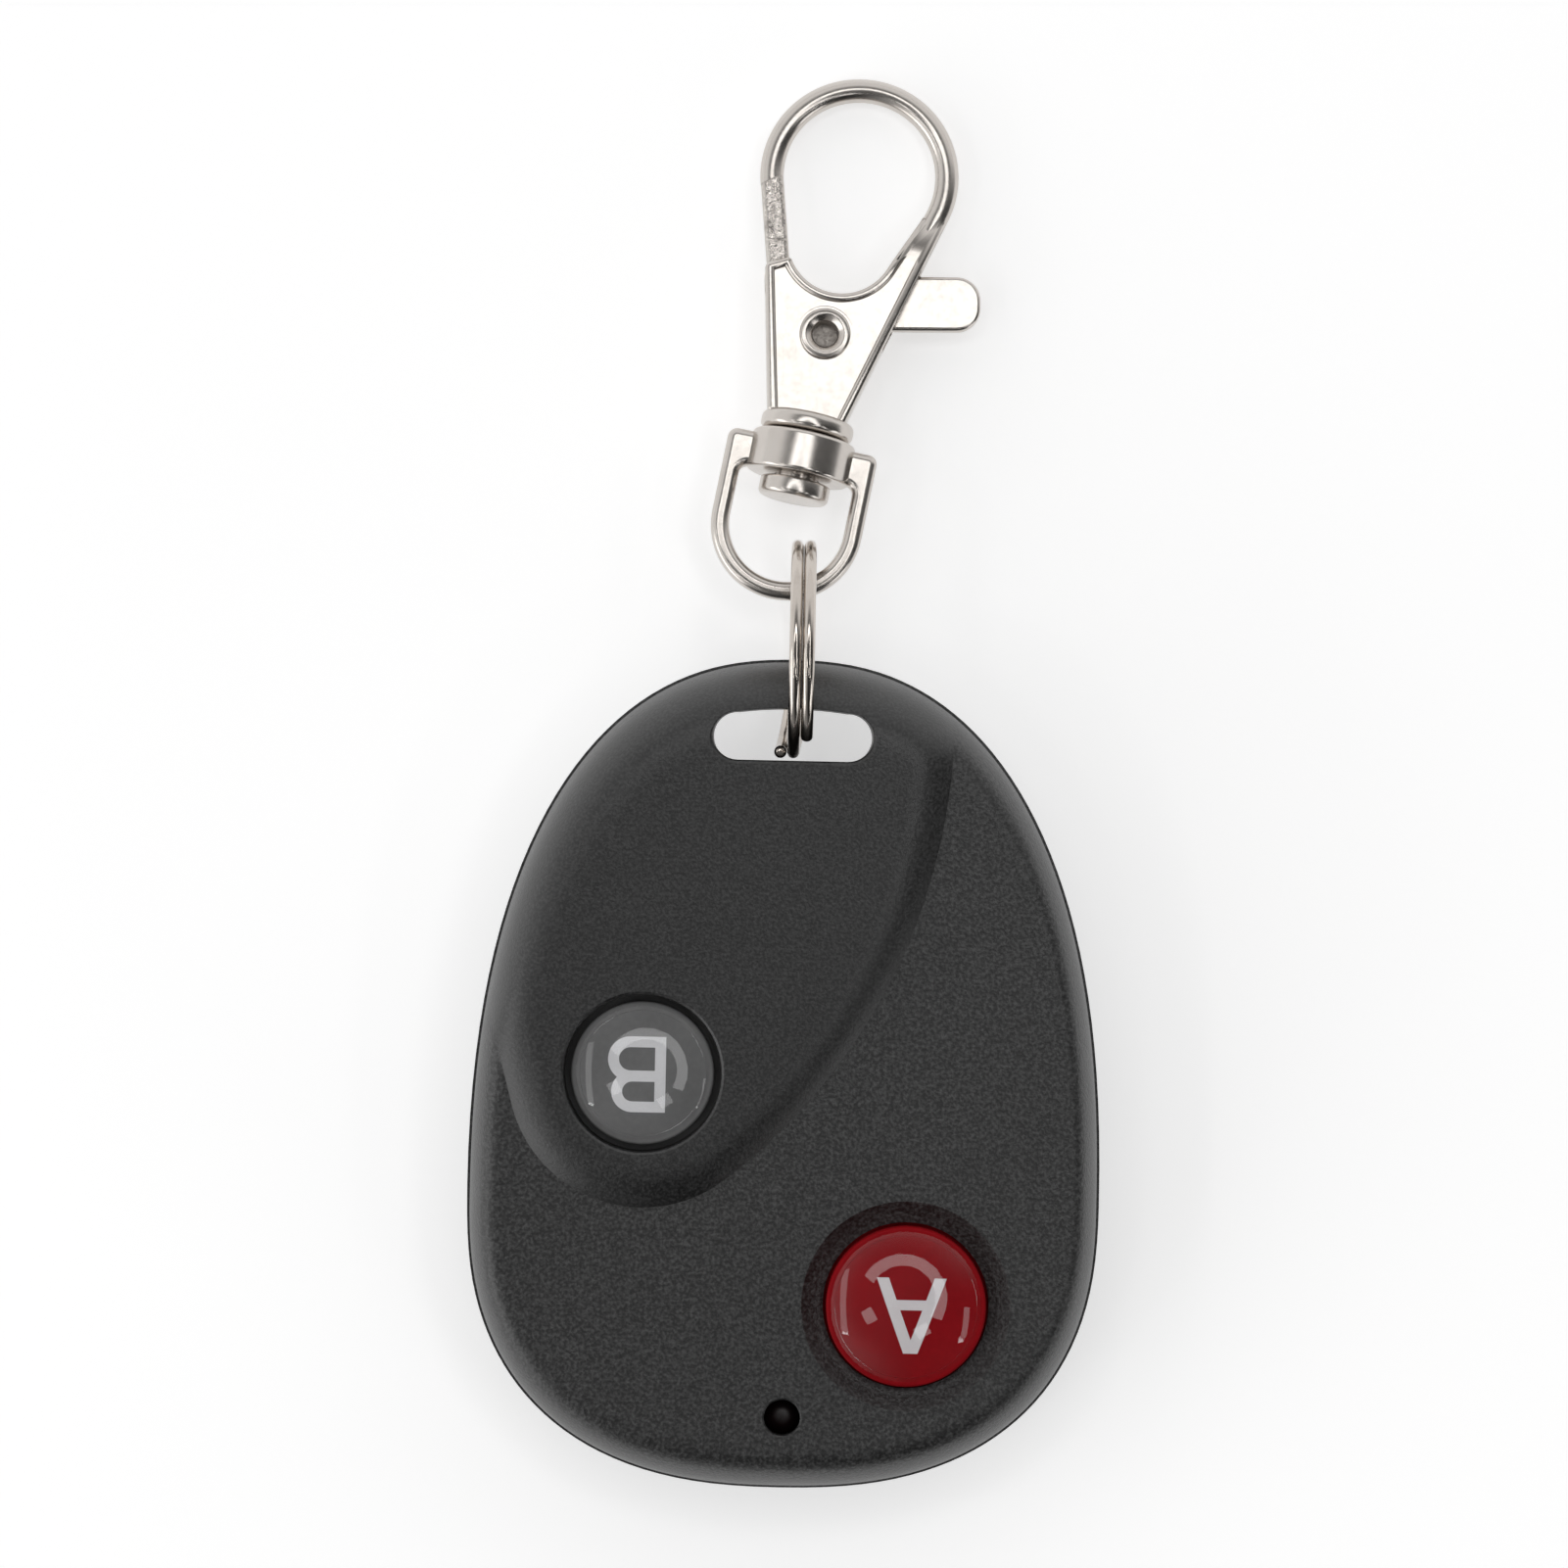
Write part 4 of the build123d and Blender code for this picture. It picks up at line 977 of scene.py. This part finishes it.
@dataclass
class PushButton:
    """Cap with a printed letter in its recess and a clear dome over it."""

    ink: Ink
    finish: MouldedPlastic
    slot: str
    place: Point2
    radius: float
    rim: float
    dome_rise: float
    hole_radius: float
    letter_shift: Point2
    recess_inset: float = 0.64
    dome_inset: float = 0.32
    dome_foot_inset: float = 0.68
    rim_rounding: float = 0.2
    skirt_depth: float = 1.0
    flange_width: float = 0.55
    flange_top: float = 10.75
    flange_low: float = 10.0
    rest: float = 10.7
    rest_radius: float = 1.5
    switch_room: float = 4.393
    print_recess: float = 0.06
    print_depth: float = 0.01
    dome_sink: float = 0.015
    dome_steps: int = 28

    def _piece(
        self, solid: Solid, name: str, slot: str, finish: Finish, node: str = "", sharp: float = 35.0
    ) -> Piece:
        """Set a solid on the button and finish it.

        Args:
            solid: the solid, about the origin.
            name: what it is called after the button's name.
            slot: material slot of the record, passed on with the solid.
            finish: its finish.
            node: the CAD node that it stands for, after the button's name.
            sharp: least angle at which an edge is shaded as sharp, in degrees.

        Returns:
            The piece.
        """
        body = f"button_{self.ink.value}"
        replaced = f"{body}_{node}" if node else ""
        return solid.moved(at(self.place)).piece(f"{body}_{name}", body, slot, [finish], replaced, sharp)

    def _cap(self) -> Piece:
        """Turn the cap: rim, recess, skirt, flange and the boss over its switch.

        Returns:
            The cap.
        """
        radius, rim = self.radius, self.rim
        recess, flange = radius - self.recess_inset, self.hole_radius + self.flange_width
        floor, ceiling = rim - self.print_recess, rim - self.skirt_depth
        corners = [(recess + 0.02, rim, 0), (radius, rim, self.rim_rounding), (radius, self.flange_top, 0)]
        crown = rounded(corners, closed=False)
        profile = [(0, floor), (recess * 0.5, floor), (recess - 0.03, floor), *crown]
        profile += [(flange, self.flange_top), (flange, self.flange_low), (self.switch_room, self.flange_low)]
        profile += [(self.switch_room, ceiling), (self.rest_radius, ceiling), (self.rest_radius, self.rest)]
        return self._piece(spun([*profile, (0, self.rest)], 128), "cap_moulding", self.slot, self.finish, "cap")

    def _letter(self) -> Piece:
        """Lay the letter in the recess, read from the keyring end.

        Returns:
            The letter.
        """
        outlines = letter_outlines(self.ink)
        width, height = (max(point[axis] for point in outlines[0]) for axis in (0, 1))
        curve = bpy.data.curves.new("letter", "CURVE")
        curve.dimensions = "2D"
        curve.fill_mode = "BOTH"
        curve.extrude = self.print_depth
        for outline in outlines:
            line = curve.splines.new("POLY")
            line.points.add(len(outline) - 1)
            for point, (x, y) in zip(line.points, outline):
                point.co = (x - width / 2, y - height / 2, 0, 1)
            line.use_cyclic_u = True
        holder = bpy.data.objects.new("letter", curve)
        bm = bmesh.new()
        bm.from_mesh(bpy.data.meshes.new_from_object(holder))
        bpy.data.objects.remove(holder)
        lift = Matrix.Translation((0, 0, self.rim - self.print_recess + 0.012))
        letter = Solid(bm).moved(lift @ at(self.letter_shift, 180))
        return self._piece(letter, "letter", self.slot, PRINT)

    def _dome(self) -> Piece:
        """Turn the clear dome that covers the cap inside its rim.

        Returns:
            The dome.
        """
        reach, recess = self.radius - self.dome_inset, self.radius - self.dome_foot_inset
        curve = (reach**2 + self.dome_rise**2) / (2 * self.dome_rise)
        edge, top = self.rim - self.dome_sink, self.rim + self.dome_rise
        floor = self.rim - self.print_recess - self.dome_sink
        profile = [(0, floor), (recess, floor), (recess, edge), (reach, edge)]
        for index in range(1, self.dome_steps):
            across = reach * (1 - index / self.dome_steps)
            profile.append((across, top - (curve - math.sqrt(curve**2 - across**2))))
        dome = spun([*profile, (0, top)], 128)
        made = self._piece(dome, "clear_dome", "clear_dome", DOME, "dome", sharp=50)
        # Clear plastic lets the light through to the cap, which a shadow of the dome would darken
        made.visible_shadow = False
        return made

    def build(self) -> list[Piece]:
        """Build the cap, its letter and its dome."""
        return [self._cap(), self._letter(), self._dome()]


@dataclass
class SplitRing:
    """Two touching turns of round wire, with one end standing beside them."""

    radius: float = 7.449
    wire_radius: float = 0.45
    pitch: float = 0.93
    centre: Point3 = (0.5, 30.75, 8.4)
    turned: float = 689.0
    steps: int = 288

    def _side_step(self, turned: float) -> float:
        """Give which loop the wire is in: it steps aside over a quarter turn at the start of each.

        Args:
            turned: degrees that the wire has turned.

        Returns:
            The loop's place in pitches from the ring's middle.
        """
        steps = 0.0
        for start in (0.0, 360.0):
            part = min(max((turned - start) / 90, 0), 1)
            steps += part * part * (3 - 2 * part)
        return steps - 1.5

    def build(self) -> Piece:
        """Wind the ring.

        Returns:
            The ring.
        """
        places = []
        for index in range(self.steps + 1):
            turned = self.turned * index / self.steps
            angle = math.radians(180 + turned)
            out = Vector((0, math.cos(angle), math.sin(angle)))
            along = Vector((self.pitch * self._side_step(turned), 0, 0))
            places.append((Vector(self.centre) + out * self.radius + along, out))
        stations = []
        for index, (place, out) in enumerate(places):
            before, after = places[max(index - 1, 0)][0], places[min(index + 1, self.steps)][0]
            stations.append((place, (after - before).normalized(), out))
        ring = wire(stations, self.wire_radius, 24, 0.25)
        return ring.piece("split_ring_wire", "key_ring", "ring_nickel", [RING_NICKEL], "split_ring", sharp=50)


@dataclass
class SwivelClasp:
    """Loop with a collar, and the hook, lever, rivet and spring that turn in it."""

    heading: float = 10.5
    pitch: float = 6.0
    origin: Point3 = (0.12, 44.8, 3.986)
    collar: tuple[Point3, ...] = ((0, -1.5, 0), (3.8, -1.5, 0.3), (3.8, 1.5, 0.3), (0, 1.5, 0))
    collar_bore: float = 1.65
    flange: tuple[Point3, ...] = ((0, 1.65, 0), (3.42, 1.65, 0.5), (3.42, 3.05, 0.55), (0, 3.05, 0))
    stud_head: tuple[Point3, ...] = ((0, -3.15, 0), (2.6, -3.15, 0.4), (2.6, -1.8, 0.2), (0, -1.8, 0))
    stud: tuple[Point2, ...] = ((0, -2.4), (1.6, -2.4), (1.6, 2.4), (0, 2.4))
    loop_half: float = 5.55
    loop_bar: float = 1.35
    loop_half_depth: float = 0.8
    bow_rounding: float = 0.58
    bow_v: float = -5.05
    eye_v: float = 21.3
    eye_radius: float = 6.42
    eye_wire_radius: float = 0.875
    eye_steps: int = 88
    strand_angle: float = 15.0
    strand_steps: int = 12
    strand_step: float = 1.42
    nose_angle: float = 194.0
    throat: Point2 = (-0.3, 16.1)
    throat_radius: float = 3.9
    shoulder: Point2 = (6.95, 19.3)
    gate_corner: Point2 = (-5.45, 13.3)
    body_foot: tuple[Point2, Point2] = ((-3.05, 2.65), (2.6, 2.65))
    pocket_foot: tuple[Point2, Point2] = ((-2.58, 1.0), (2.16, 1.0))
    half_thickness: float = 1.8
    recess: float = 0.3
    rim_width: float = 0.68
    body_rounding: float = 0.34
    rim_rounding: float = 0.28
    groove: Point2 = (1.88, 2.06)
    groove_depth: float = 0.12
    wedge: tuple[Point2, Point2] = ((15.5, 1.8), (19.6, 0.42))
    lever_room: tuple[Point2, ...] = (
        *((-2.14, 6.3), (-3.78, 11.1), (-7.45, 11.7), (-7.45, 16.1), (-0.3, 16.1)),
        *((2.37, 14.49), (13.99, 16.77), (15.17, 7.71), (3.8, 9.02), (2.24, 6.3)),
    )
    lever_room_half: float = 1.1
    throat_clearance: float = 0.12
    rivet: Point2 = (-0.11, 9.1)
    body_hole: float = 1.51
    lever_hole: float = 1.54
    rivet_bore: float = 0.93
    lever_levels: Point2 = (-0.95, 0.15)
    hub_radius: float = 2.35
    gate_foot: Point2 = (-4.5, 13.6)
    gate_joint: Point2 = (-6.23, 19.75)
    gate_width: float = 1.7
    gate_region: Point2 = (-3.4, 13.4)
    bar_rounding: float = 0.42
    joint_angle: float = 35.5
    joint_gap: float = 0.12
    tab_root: Point2 = (3.2, 12.36)
    tab_tip: Point2 = (10.6, 13.86)
    tab_width: float = 4.05
    tab_corner: float = 1.75
    spring_level: float = 0.775
    spring_radius: float = 2.0
    spring_wire_radius: float = 0.25
    spring_angles: Point2 = (55.0, -115.0)
    spring_legs: Point2 = (1.8, 2.2)

    def frame(self) -> Matrix:
        """Give the clasp's own frame.

        Returns:
            The frame: U across, V along its axis to the hook, W out of its face.
        """
        heading, pitch = math.radians(self.heading), math.radians(self.pitch)
        across = Vector((math.cos(heading), -math.sin(heading), 0))
        out = Vector((math.sin(pitch) * math.sin(heading), math.sin(pitch) * math.cos(heading), math.cos(pitch)))
        turned = Matrix((across, out.cross(across), out)).transposed().to_4x4()
        return Matrix.Translation(self.origin) @ turned

    def _casting(self, solid: Solid, name: str, body: str, replaced: str, *others: Finish) -> Piece:
        """Set a solid of the clasp's frame in its place, in plated zinc, with other finishes for some faces."""
        finishes = [CLASP_NICKEL, *others]
        return solid.moved(self.frame()).piece(name, body, "clasp_nickel", finishes, replaced, flat=True)

    def _loop(self) -> Piece:
        """Build the swivel loop: a round bow with shoulders, and its collar.

        Returns:
            The loop.
        """
        outlines = []
        for half, shoulder, radius in ((self.loop_half, 1.2, 0.7), (self.loop_half - self.loop_bar, -1.4, 0.6)):
            shoulders = [(half, shoulder, radius), (-half, shoulder, radius)]
            line = rounded([(half, self.bow_v, 0), *shoulders, (-half, self.bow_v, 0)])
            outlines.append(line + arc((0, self.bow_v), half, 180, 360, 48)[1:-1])
        outer, hole = outlines
        bow = prism(outer, -self.loop_half_depth, self.loop_half_depth).cut(through(hole))
        bow.soften(self.bow_rounding, 5)
        collar = spun(rounded(self.collar, 5, False), 96, Axis.LENGTHWISE)
        bore = spun([(0, -8), (self.collar_bore, -8), (self.collar_bore, 8), (0, 8)], 64, Axis.LENGTHWISE)
        return self._casting(bow.join(collar).cut(bore), "swivel_loop_casting", "swivel", "swivel_loop")

    def _throat_outline(self, grow: float = 0.0) -> list[Point2]:
        """Give the hook's opening: the throat's circle and the eye's, wrapped together.

        Args:
            grow: how far the opening is widened all round.

        Returns:
            Points in plan.
        """
        inner = self.eye_radius - self.eye_wire_radius + grow
        throat = self.throat_radius + grow
        apart = Vector((0, self.eye_v)) - Vector(self.throat)
        heading = math.degrees(math.atan2(apart.y, apart.x))
        lean = math.degrees(math.acos((throat - inner) / apart.length))
        low = arc(self.throat, throat, heading + lean, heading + 360 - lean, 40)
        return low + arc((0, self.eye_v), inner, heading - lean, heading + lean, 60)

    def _eye(self) -> Solid:
        """Run the round wire from the nose over the eye and down the strand.

        Returns:
            The wire, cut off at the slanted joint below the nose.
        """
        centre = Vector((0, self.eye_v, 0))
        stations = bend(centre, self.eye_radius, self.nose_angle + 6, -self.strand_angle, self.eye_steps)
        place, way, out = stations[-1]
        stations += [(place + way * (self.strand_step * (i + 1)), way, out) for i in range(self.strand_steps)]
        below = through([(-9, -12), (5, -12), (5, 0), (-9, 0)])
        below.moved(at(self.gate_joint, self.joint_angle))
        return wire(stations, self.eye_wire_radius, 28, 0.1).cut(below)

    def _rivet_hole(self, radius: float) -> Solid:
        """Build the tool that drills for the rivet."""
        section = [(0, -THROUGH), (radius, -THROUGH), (radius, THROUGH), (0, THROUGH)]
        return spun(section, 64).moved(at(self.rivet))

    def _wedges(self) -> list[Solid]:
        """Build what is taken off both faces where the plate thins into the round wire.

        Returns:
            The wedge over the plate and the one under it.
        """
        (start, thick), (end, thin) = self.wedge
        side = [(start, thick), (end, thin), (24, thin), (24, 5), (start, 5)]
        stood_up = Matrix(((0, 0, 1, 0), (1, 0, 0, 0), (0, 1, 0, 0), (0, 0, 0, 1)))
        return [prism([(v, w * face) for v, w in side], 2.0, 12.0).moved(stood_up) for face in (1, -1)]

    def _hook(self) -> Piece:
        """Build the hook: recessed body, eye, flange, stud and its headed end.

        Returns:
            The hook.
        """
        half, floor = self.half_thickness, self.half_thickness - self.recess
        outline = [*self.body_foot, self.shoulder, (5.2, 19.3), self.throat, self.gate_corner]
        opening = through(self._throat_outline())
        body = prism(outline, -half, half).cut(opening, *self._wedges())
        body.soften(self.body_rounding, 4, convex=True)
        plan = drawn_in([*self.pocket_foot, self.shoulder, self.throat, self.gate_corner], self.rim_width)
        rim = self._throat_outline(self.rim_width)
        pockets = [prism(plan, low, high).cut(through(rim)) for low, high in ((floor, 3), (-3, -floor))]
        (inner, outer), low, high = self.groove, floor - self.groove_depth, floor + 0.2
        groove = spun([(inner, low), (outer, low), (outer, high), (inner, high)], 72, closed=True)
        body.cut(*pockets).soften(self.rim_rounding, 4, convex=True).cut(groove.moved(at(self.rivet)))
        flange = spun(rounded(self.flange, 7, False), 96, Axis.LENGTHWISE)
        head = spun(rounded(self.stud_head, closed=False), 64, Axis.LENGTHWISE)
        stud = spun(self.stud, 64, Axis.LENGTHWISE)
        room = prism(self.lever_room, -self.lever_room_half, self.lever_room_half)
        body.join(self._eye().cut(through(self._throat_outline())))
        body.cut(room, self._rivet_hole(self.body_hole)).join(flange, stud, head)
        return self._casting(body, "hook_casting", "hook", "clasp_body")

    def _lever(self) -> Piece:
        """Build the lever: gate bar, arm, hub and thumb tab.

        Returns:
            The lever.
        """
        low, high = self.lever_levels
        half = self.gate_width / 2
        hub = arc(self.rivet, self.hub_radius, 0, 360, 64)[:-1]
        foot = arc(self.gate_foot, half, 0, 360, 32)[:-1]
        arm = hull([(x, y, z) for x, y in hub + foot for z in (low, high)])
        root, tip = Vector(self.tab_root), Vector(self.tab_tip)
        way = (tip - root).normalized()
        side = Vector((-way.y, way.x)) * self.tab_width / 2
        back, corner = root - way * 0.6, self.tab_corner
        corners = [(*(back - side), 0.0), (*(tip - side), corner), (*(tip + side), corner), (*(back + side), 0.0)]
        tab = prism(rounded(corners, 10), low, high).soften(self.rim_rounding, 3)
        width = [tuple(root + side * 0.98), tuple(root - side * 0.98)]
        neck = hull([(x, y, z) for x, y in hub + width for z in (low + 0.02, high - 0.02)])
        start, joint = Vector(self.gate_foot), Vector(self.gate_joint)
        reach = (joint - start).length + self.gate_width
        heading = math.degrees(math.atan2((joint - start).y, (joint - start).x))
        bar = prism([(-0.35, -half), (reach, -half), (reach, half), (-0.35, half)], -half, half)
        bar.soften(self.bar_rounding, 4)
        gap = -self.joint_gap
        beyond = through([(-12, gap), (12, gap), (12, 12), (-12, 12)])
        bar.moved(at(self.gate_foot, heading)).cut(beyond.moved(at(self.gate_joint, self.joint_angle)))
        opening = through(self._throat_outline(self.throat_clearance))
        lever = arm.join(tab, neck).cut(opening).join(bar).cut(self._rivet_hole(self.lever_hole))
        made = self._casting(lever, "lever_casting", "lever", "clasp_lever", GATE_NICKEL)
        to_clasp = self.frame().inverted()
        for face in made.data.polygons:
            u, v, _ = to_clasp @ (face.center / MM)
            if u < self.gate_region[0] and v > self.gate_region[1]:
                face.material_index = 1
        return made

    def _rivet(self) -> Piece:
        """Turn the semi-tubular rivet: a rolled rim in front, a plain head behind.

        Returns:
            The rivet.
        """
        seat, bore = self.half_thickness - self.recess, self.rivet_bore
        top = seat + 0.35
        crown = [(0, 0.1, 0), (bore, 0.1, 0), (bore, top - 0.4, 0.3), (1.4, top, 0.22), (1.86, top - 0.04, 0.2)]
        back = [(1.86, seat, 0), (1.5, seat, 0), (1.5, -seat, 0), (1.93, -seat, 0), (1.93, -top, 0.2), (0, -top, 0)]
        rivet = spun(rounded(crown + back, 5, False), 72).moved(at(self.rivet))
        made = self._casting(rivet, "hollow_rivet", "hook", "clasp_rivet", BORE_STEEL)
        to_rivet = (self.frame() @ at(self.rivet)).inverted()
        for face in made.data.polygons:
            here = to_rivet @ (face.center / MM)
            if here.xy.length < bore + 0.03 and here.z > -1.3:
                face.material_index = 1
        return made

    def _spring(self) -> Piece:
        """Bend the hairpin spring: half a turn about the rivet and two straight legs.

        Returns:
            The spring.
        """
        stations = bend(Vector((*self.rivet, self.spring_level)), self.spring_radius, *self.spring_angles, 24)
        (first, first_way, first_out), (last, last_way, last_out) = stations[0], stations[-1]
        gate_leg, body_leg = self.spring_legs
        stations.insert(0, (first - first_way * gate_leg, first_way, first_out))
        stations.append((last + last_way * body_leg, last_way, last_out))
        spring = wire(stations, self.spring_wire_radius, 12).moved(self.frame())
        return spring.piece("hairpin_spring_wire", "hook", "ring_nickel", [SPRING_STEEL], "clasp_spring", sharp=50)

    def build(self) -> list[Piece]:
        """Build the loop, the hook, the lever, the rivet and the spring."""
        return [self._loop(), self._hook(), self._lever(), self._rivet(), self._spring()]


@dataclass(frozen=True)
class CarriedNodes:
    """CAD nodes whose shape is right, by the finish that they get."""

    finishes: tuple[tuple[Finish, tuple[str, ...]], ...] = (
        (CASE_COARSE, ("rear_cover",)),
        (SCREW_STEEL, ("cover_screws",)),
        (SWITCH_NYLON, ("switch_a_body", "switch_b_body")),
        (PLUNGER_NYLON, ("switch_a_plunger", "switch_b_plunger")),
        (LAMINATE, ("circuit_board",)),
        (LED_EPOXY, ("status_led",)),
        (CHIP_EPOXY, ("encoder_chip", "rf_transistor", "chip_passives")),
        (TINNED_CAN, ("saw_resonator",)),
        (COPPER, ("tuning_coil",)),
        (BATTERY_JACKET, ("battery",)),
        (CONTACT_NICKEL, ("battery_contact_plate", "battery_spring_plate")),
        (SPRING_STEEL, ("battery_contact_spring",)),
    )

    def dress(self) -> None:
        """Give each node its finish."""
        for finish, names in self.finishes:
            for name in names:
                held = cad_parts[name]
                if not held.material_slots:
                    held.data.materials.append(finish.material())
                for slot in held.material_slots:
                    slot.material = finish.material()
                LOG.info("%s: dressed in %s", name, finish.name)


@dataclass
class Studio:
    """White table, pale surroundings, soft lamps and the camera straight above."""

    camera_place: Point3 = (-0.584, 20.98, 427.0)
    camera_angle: float = 15.41
    camera_lean: float = 1.25
    floor_size: float = 3000.0
    floor_level: float = -0.02
    floor_colour: str = "#e0e0e0"
    floor_white: float = 0.5
    ambient: float = 0.9
    # Direction, the cosines between which the surroundings dim, and the share of light left there
    dark_areas: tuple[tuple[Point3, float, float, float], ...] = (
        ((0.0, 0.0, 1.0), 0.58, 0.9, 0.15),
        ((0.668, -0.522, 0.53), 0.45, 0.85, 0.06),
        ((-0.1, -0.97, 0.2), 0.6, 0.95, 0.3),
    )
    lamp_height: float = 430.0
    ring_radius: float = 190.0
    ring_width: float = 66.0
    ring_step: float = 18.0
    ring_level: float = 3.0
    ring_azimuths: tuple[float, ...] = (-20, -2, 16, 34, 52, 70, 88, 106, 124, 142, 210, 302)
    # Name, place, size and level of each lamp beside the ring
    side_lamps: tuple[tuple[str, Point3, Point2, float], ...] = (
        ("left_strip", (-335, -35, 430), (50, 370), 2.0),
        ("left_strip_end", (-335, -212, 430), (46, 46), 9.0),
        ("right_strip", (365, -150, 430), (50, 190), 2.2),
        ("right_strip_end", (350, -250, 430), (40, 40), 8.0),
        ("left_low_softbox", (-455, -225, 150), (560, 190), 1.7),
        ("right_low_softbox", (430, -300, 110), (260, 150), 1.9),
    )

    def _floor(self) -> None:
        """Lay the table that the remote rests on, white to the camera and in gloss and glass."""
        bm = bmesh.new()
        level = Matrix.Translation((0, 0, self.floor_level * MM))
        bmesh.ops.create_grid(bm, x_segments=1, y_segments=1, size=self.floor_size * MM / 2, matrix=level)
        mesh = bpy.data.meshes.new("table_top")
        bm.to_mesh(mesh)
        bm.free()
        material = bpy.data.materials.new("white_table")
        material.use_nodes = True
        tree = material.node_tree
        shader = tree.nodes["Principled BSDF"]
        connect(tree, shader, {"Base Color": linear(self.floor_colour), "Roughness": 0.9})
        seen = add_node(tree, "LightPath").outputs
        direct = add_node(tree, "Math", (seen["Is Camera Ray"], seen["Is Glossy Ray"]), operation="MAXIMUM")
        direct = add_node(tree, "Math", (direct, seen["Is Transmission Ray"]), operation="MAXIMUM")
        share = add_node(tree, "Math", (direct, self.floor_white), operation="MULTIPLY")
        white = add_node(tree, "Emission", {"Color": linear("#ffffff"), "Strength": share})
        both = add_node(tree, "AddShader", (shader, white))
        connect(tree, tree.nodes["Material Output"], {"Surface": both})
        mesh.materials.append(material)
        table = bpy.data.objects.new("table_top", mesh)
        bpy.context.scene.collection.objects.link(table)

    def _surroundings(self) -> None:
        """Light from all round, but darker straight overhead and beyond the blunt end."""
        world = bpy.data.worlds.new("studio")
        world.use_nodes = True
        tree = world.node_tree
        tree.nodes.clear()
        way = add_node(tree, "TexCoord").outputs["Generated"]
        strength: float | bpy.types.Node = self.ambient
        for toward, start, end, left in self.dark_areas:
            near = add_node(tree, "VectorMath", (way, toward), operation="DOT_PRODUCT")
            share = add_node(tree, "MapRange", (near, start, end, 1.0, left), interpolation_type="SMOOTHSTEP")
            strength = add_node(tree, "Math", (strength, share), operation="MULTIPLY")
        light = add_node(tree, "Background", {"Color": linear("#ffffff"), "Strength": strength})
        white = add_node(tree, "Background", {"Color": linear("#ffffff"), "Strength": 1.0})
        seen = add_node(tree, "LightPath").outputs["Is Camera Ray"]
        mixed = add_node(tree, "MixShader", (seen, light, white))
        add_node(tree, "OutputWorld", {"Surface": mixed})
        bpy.context.scene.world = world

    def _lamp(self, name: str, place: Point3, size: Point2, level: float, turn: float = 0.0) -> None:
        """Hang a soft lamp, facing straight down if it is overhead and else facing the remote.

        Args:
            name: name of the lamp.
            place: where it hangs, in millimetres.
            size: its width and height.
            level: how bright its face is, where 1 is white.
            turn: its turn about the vertical in degrees, for a lamp overhead.
        """
        light = bpy.data.lights.new(name, "AREA")
        light.shape = "RECTANGLE"
        light.size, light.size_y = size[0] * MM, size[1] * MM
        light.energy = level * math.pi * light.size * light.size_y
        lamp = bpy.data.objects.new(name, light)
        lamp.location = Vector(place) * MM
        lamp.rotation_euler = (0, 0, math.radians(turn))
        if place[2] < self.lamp_height:
            aim = Vector((0, 10, 8)) * MM - lamp.location
            lamp.rotation_euler = aim.to_track_quat("-Z", "Y").to_euler()
        bpy.context.scene.collection.objects.link(lamp)

    def _lamps(self) -> None:
        """Hang a part ring of lamps round the camera, and a strip and a low softbox on either side."""
        middle, width = self.ring_radius, self.ring_width
        for index, azimuth in enumerate(self.ring_azimuths):
            turn = math.radians(azimuth)
            place = (middle * math.cos(turn), middle * math.sin(turn) - 5, self.lamp_height)
            long = 2 * (middle + width / 2) * math.tan(math.radians(self.ring_step / 2))
            self._lamp(f"ring_panel_{index}", place, (width, long), self.ring_level, azimuth)
        for lamp in self.side_lamps:
            self._lamp(*lamp)

    def build(self) -> None:
        """Set the table, the lamps, the surroundings and the camera."""
        self._floor()
        self._surroundings()
        self._lamps()
        data = bpy.data.cameras.new("camera")
        data.sensor_fit = "AUTO"
        data.angle = math.radians(self.camera_angle)
        data.clip_start, data.clip_end = 0.01, 10
        camera = bpy.data.objects.new("camera", data)
        camera.location = Vector(self.camera_place) * MM
        camera.rotation_euler = (0, 0, math.radians(self.camera_lean))
        bpy.context.scene.collection.objects.link(camera)
        bpy.context.scene.camera = camera
        bpy.context.scene.view_settings.view_transform = "Standard"


def main() -> None:
    """Build every piece in order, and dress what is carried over."""
    logging.basicConfig(level=logging.INFO, format="%(message)s")
    Studio().build()
    FrontCover().build()
    PushButton(
        ink=Ink.LETTER_A,
        finish=CAP_RED,
        slot="button_red",
        place=(8.95, -16.2),
        radius=5.72,
        rim=12.85,
        dome_rise=1.15,
        hole_radius=5.95,
        letter_shift=(0.36, -0.6),
    ).build()
    PushButton(
        ink=Ink.LETTER_B,
        finish=CAP_GREY,
        slot="button_grey",
        place=(-10.25, 0.1),
        radius=5.12,
        rim=12.55,
        dome_rise=0.95,
        hole_radius=5.6,
        letter_shift=(-0.4, -0.1),
    ).build()
    SplitRing().build()
    SwivelClasp().build()
    CarriedNodes().dress()


if __name__ == "__main__":
    main()
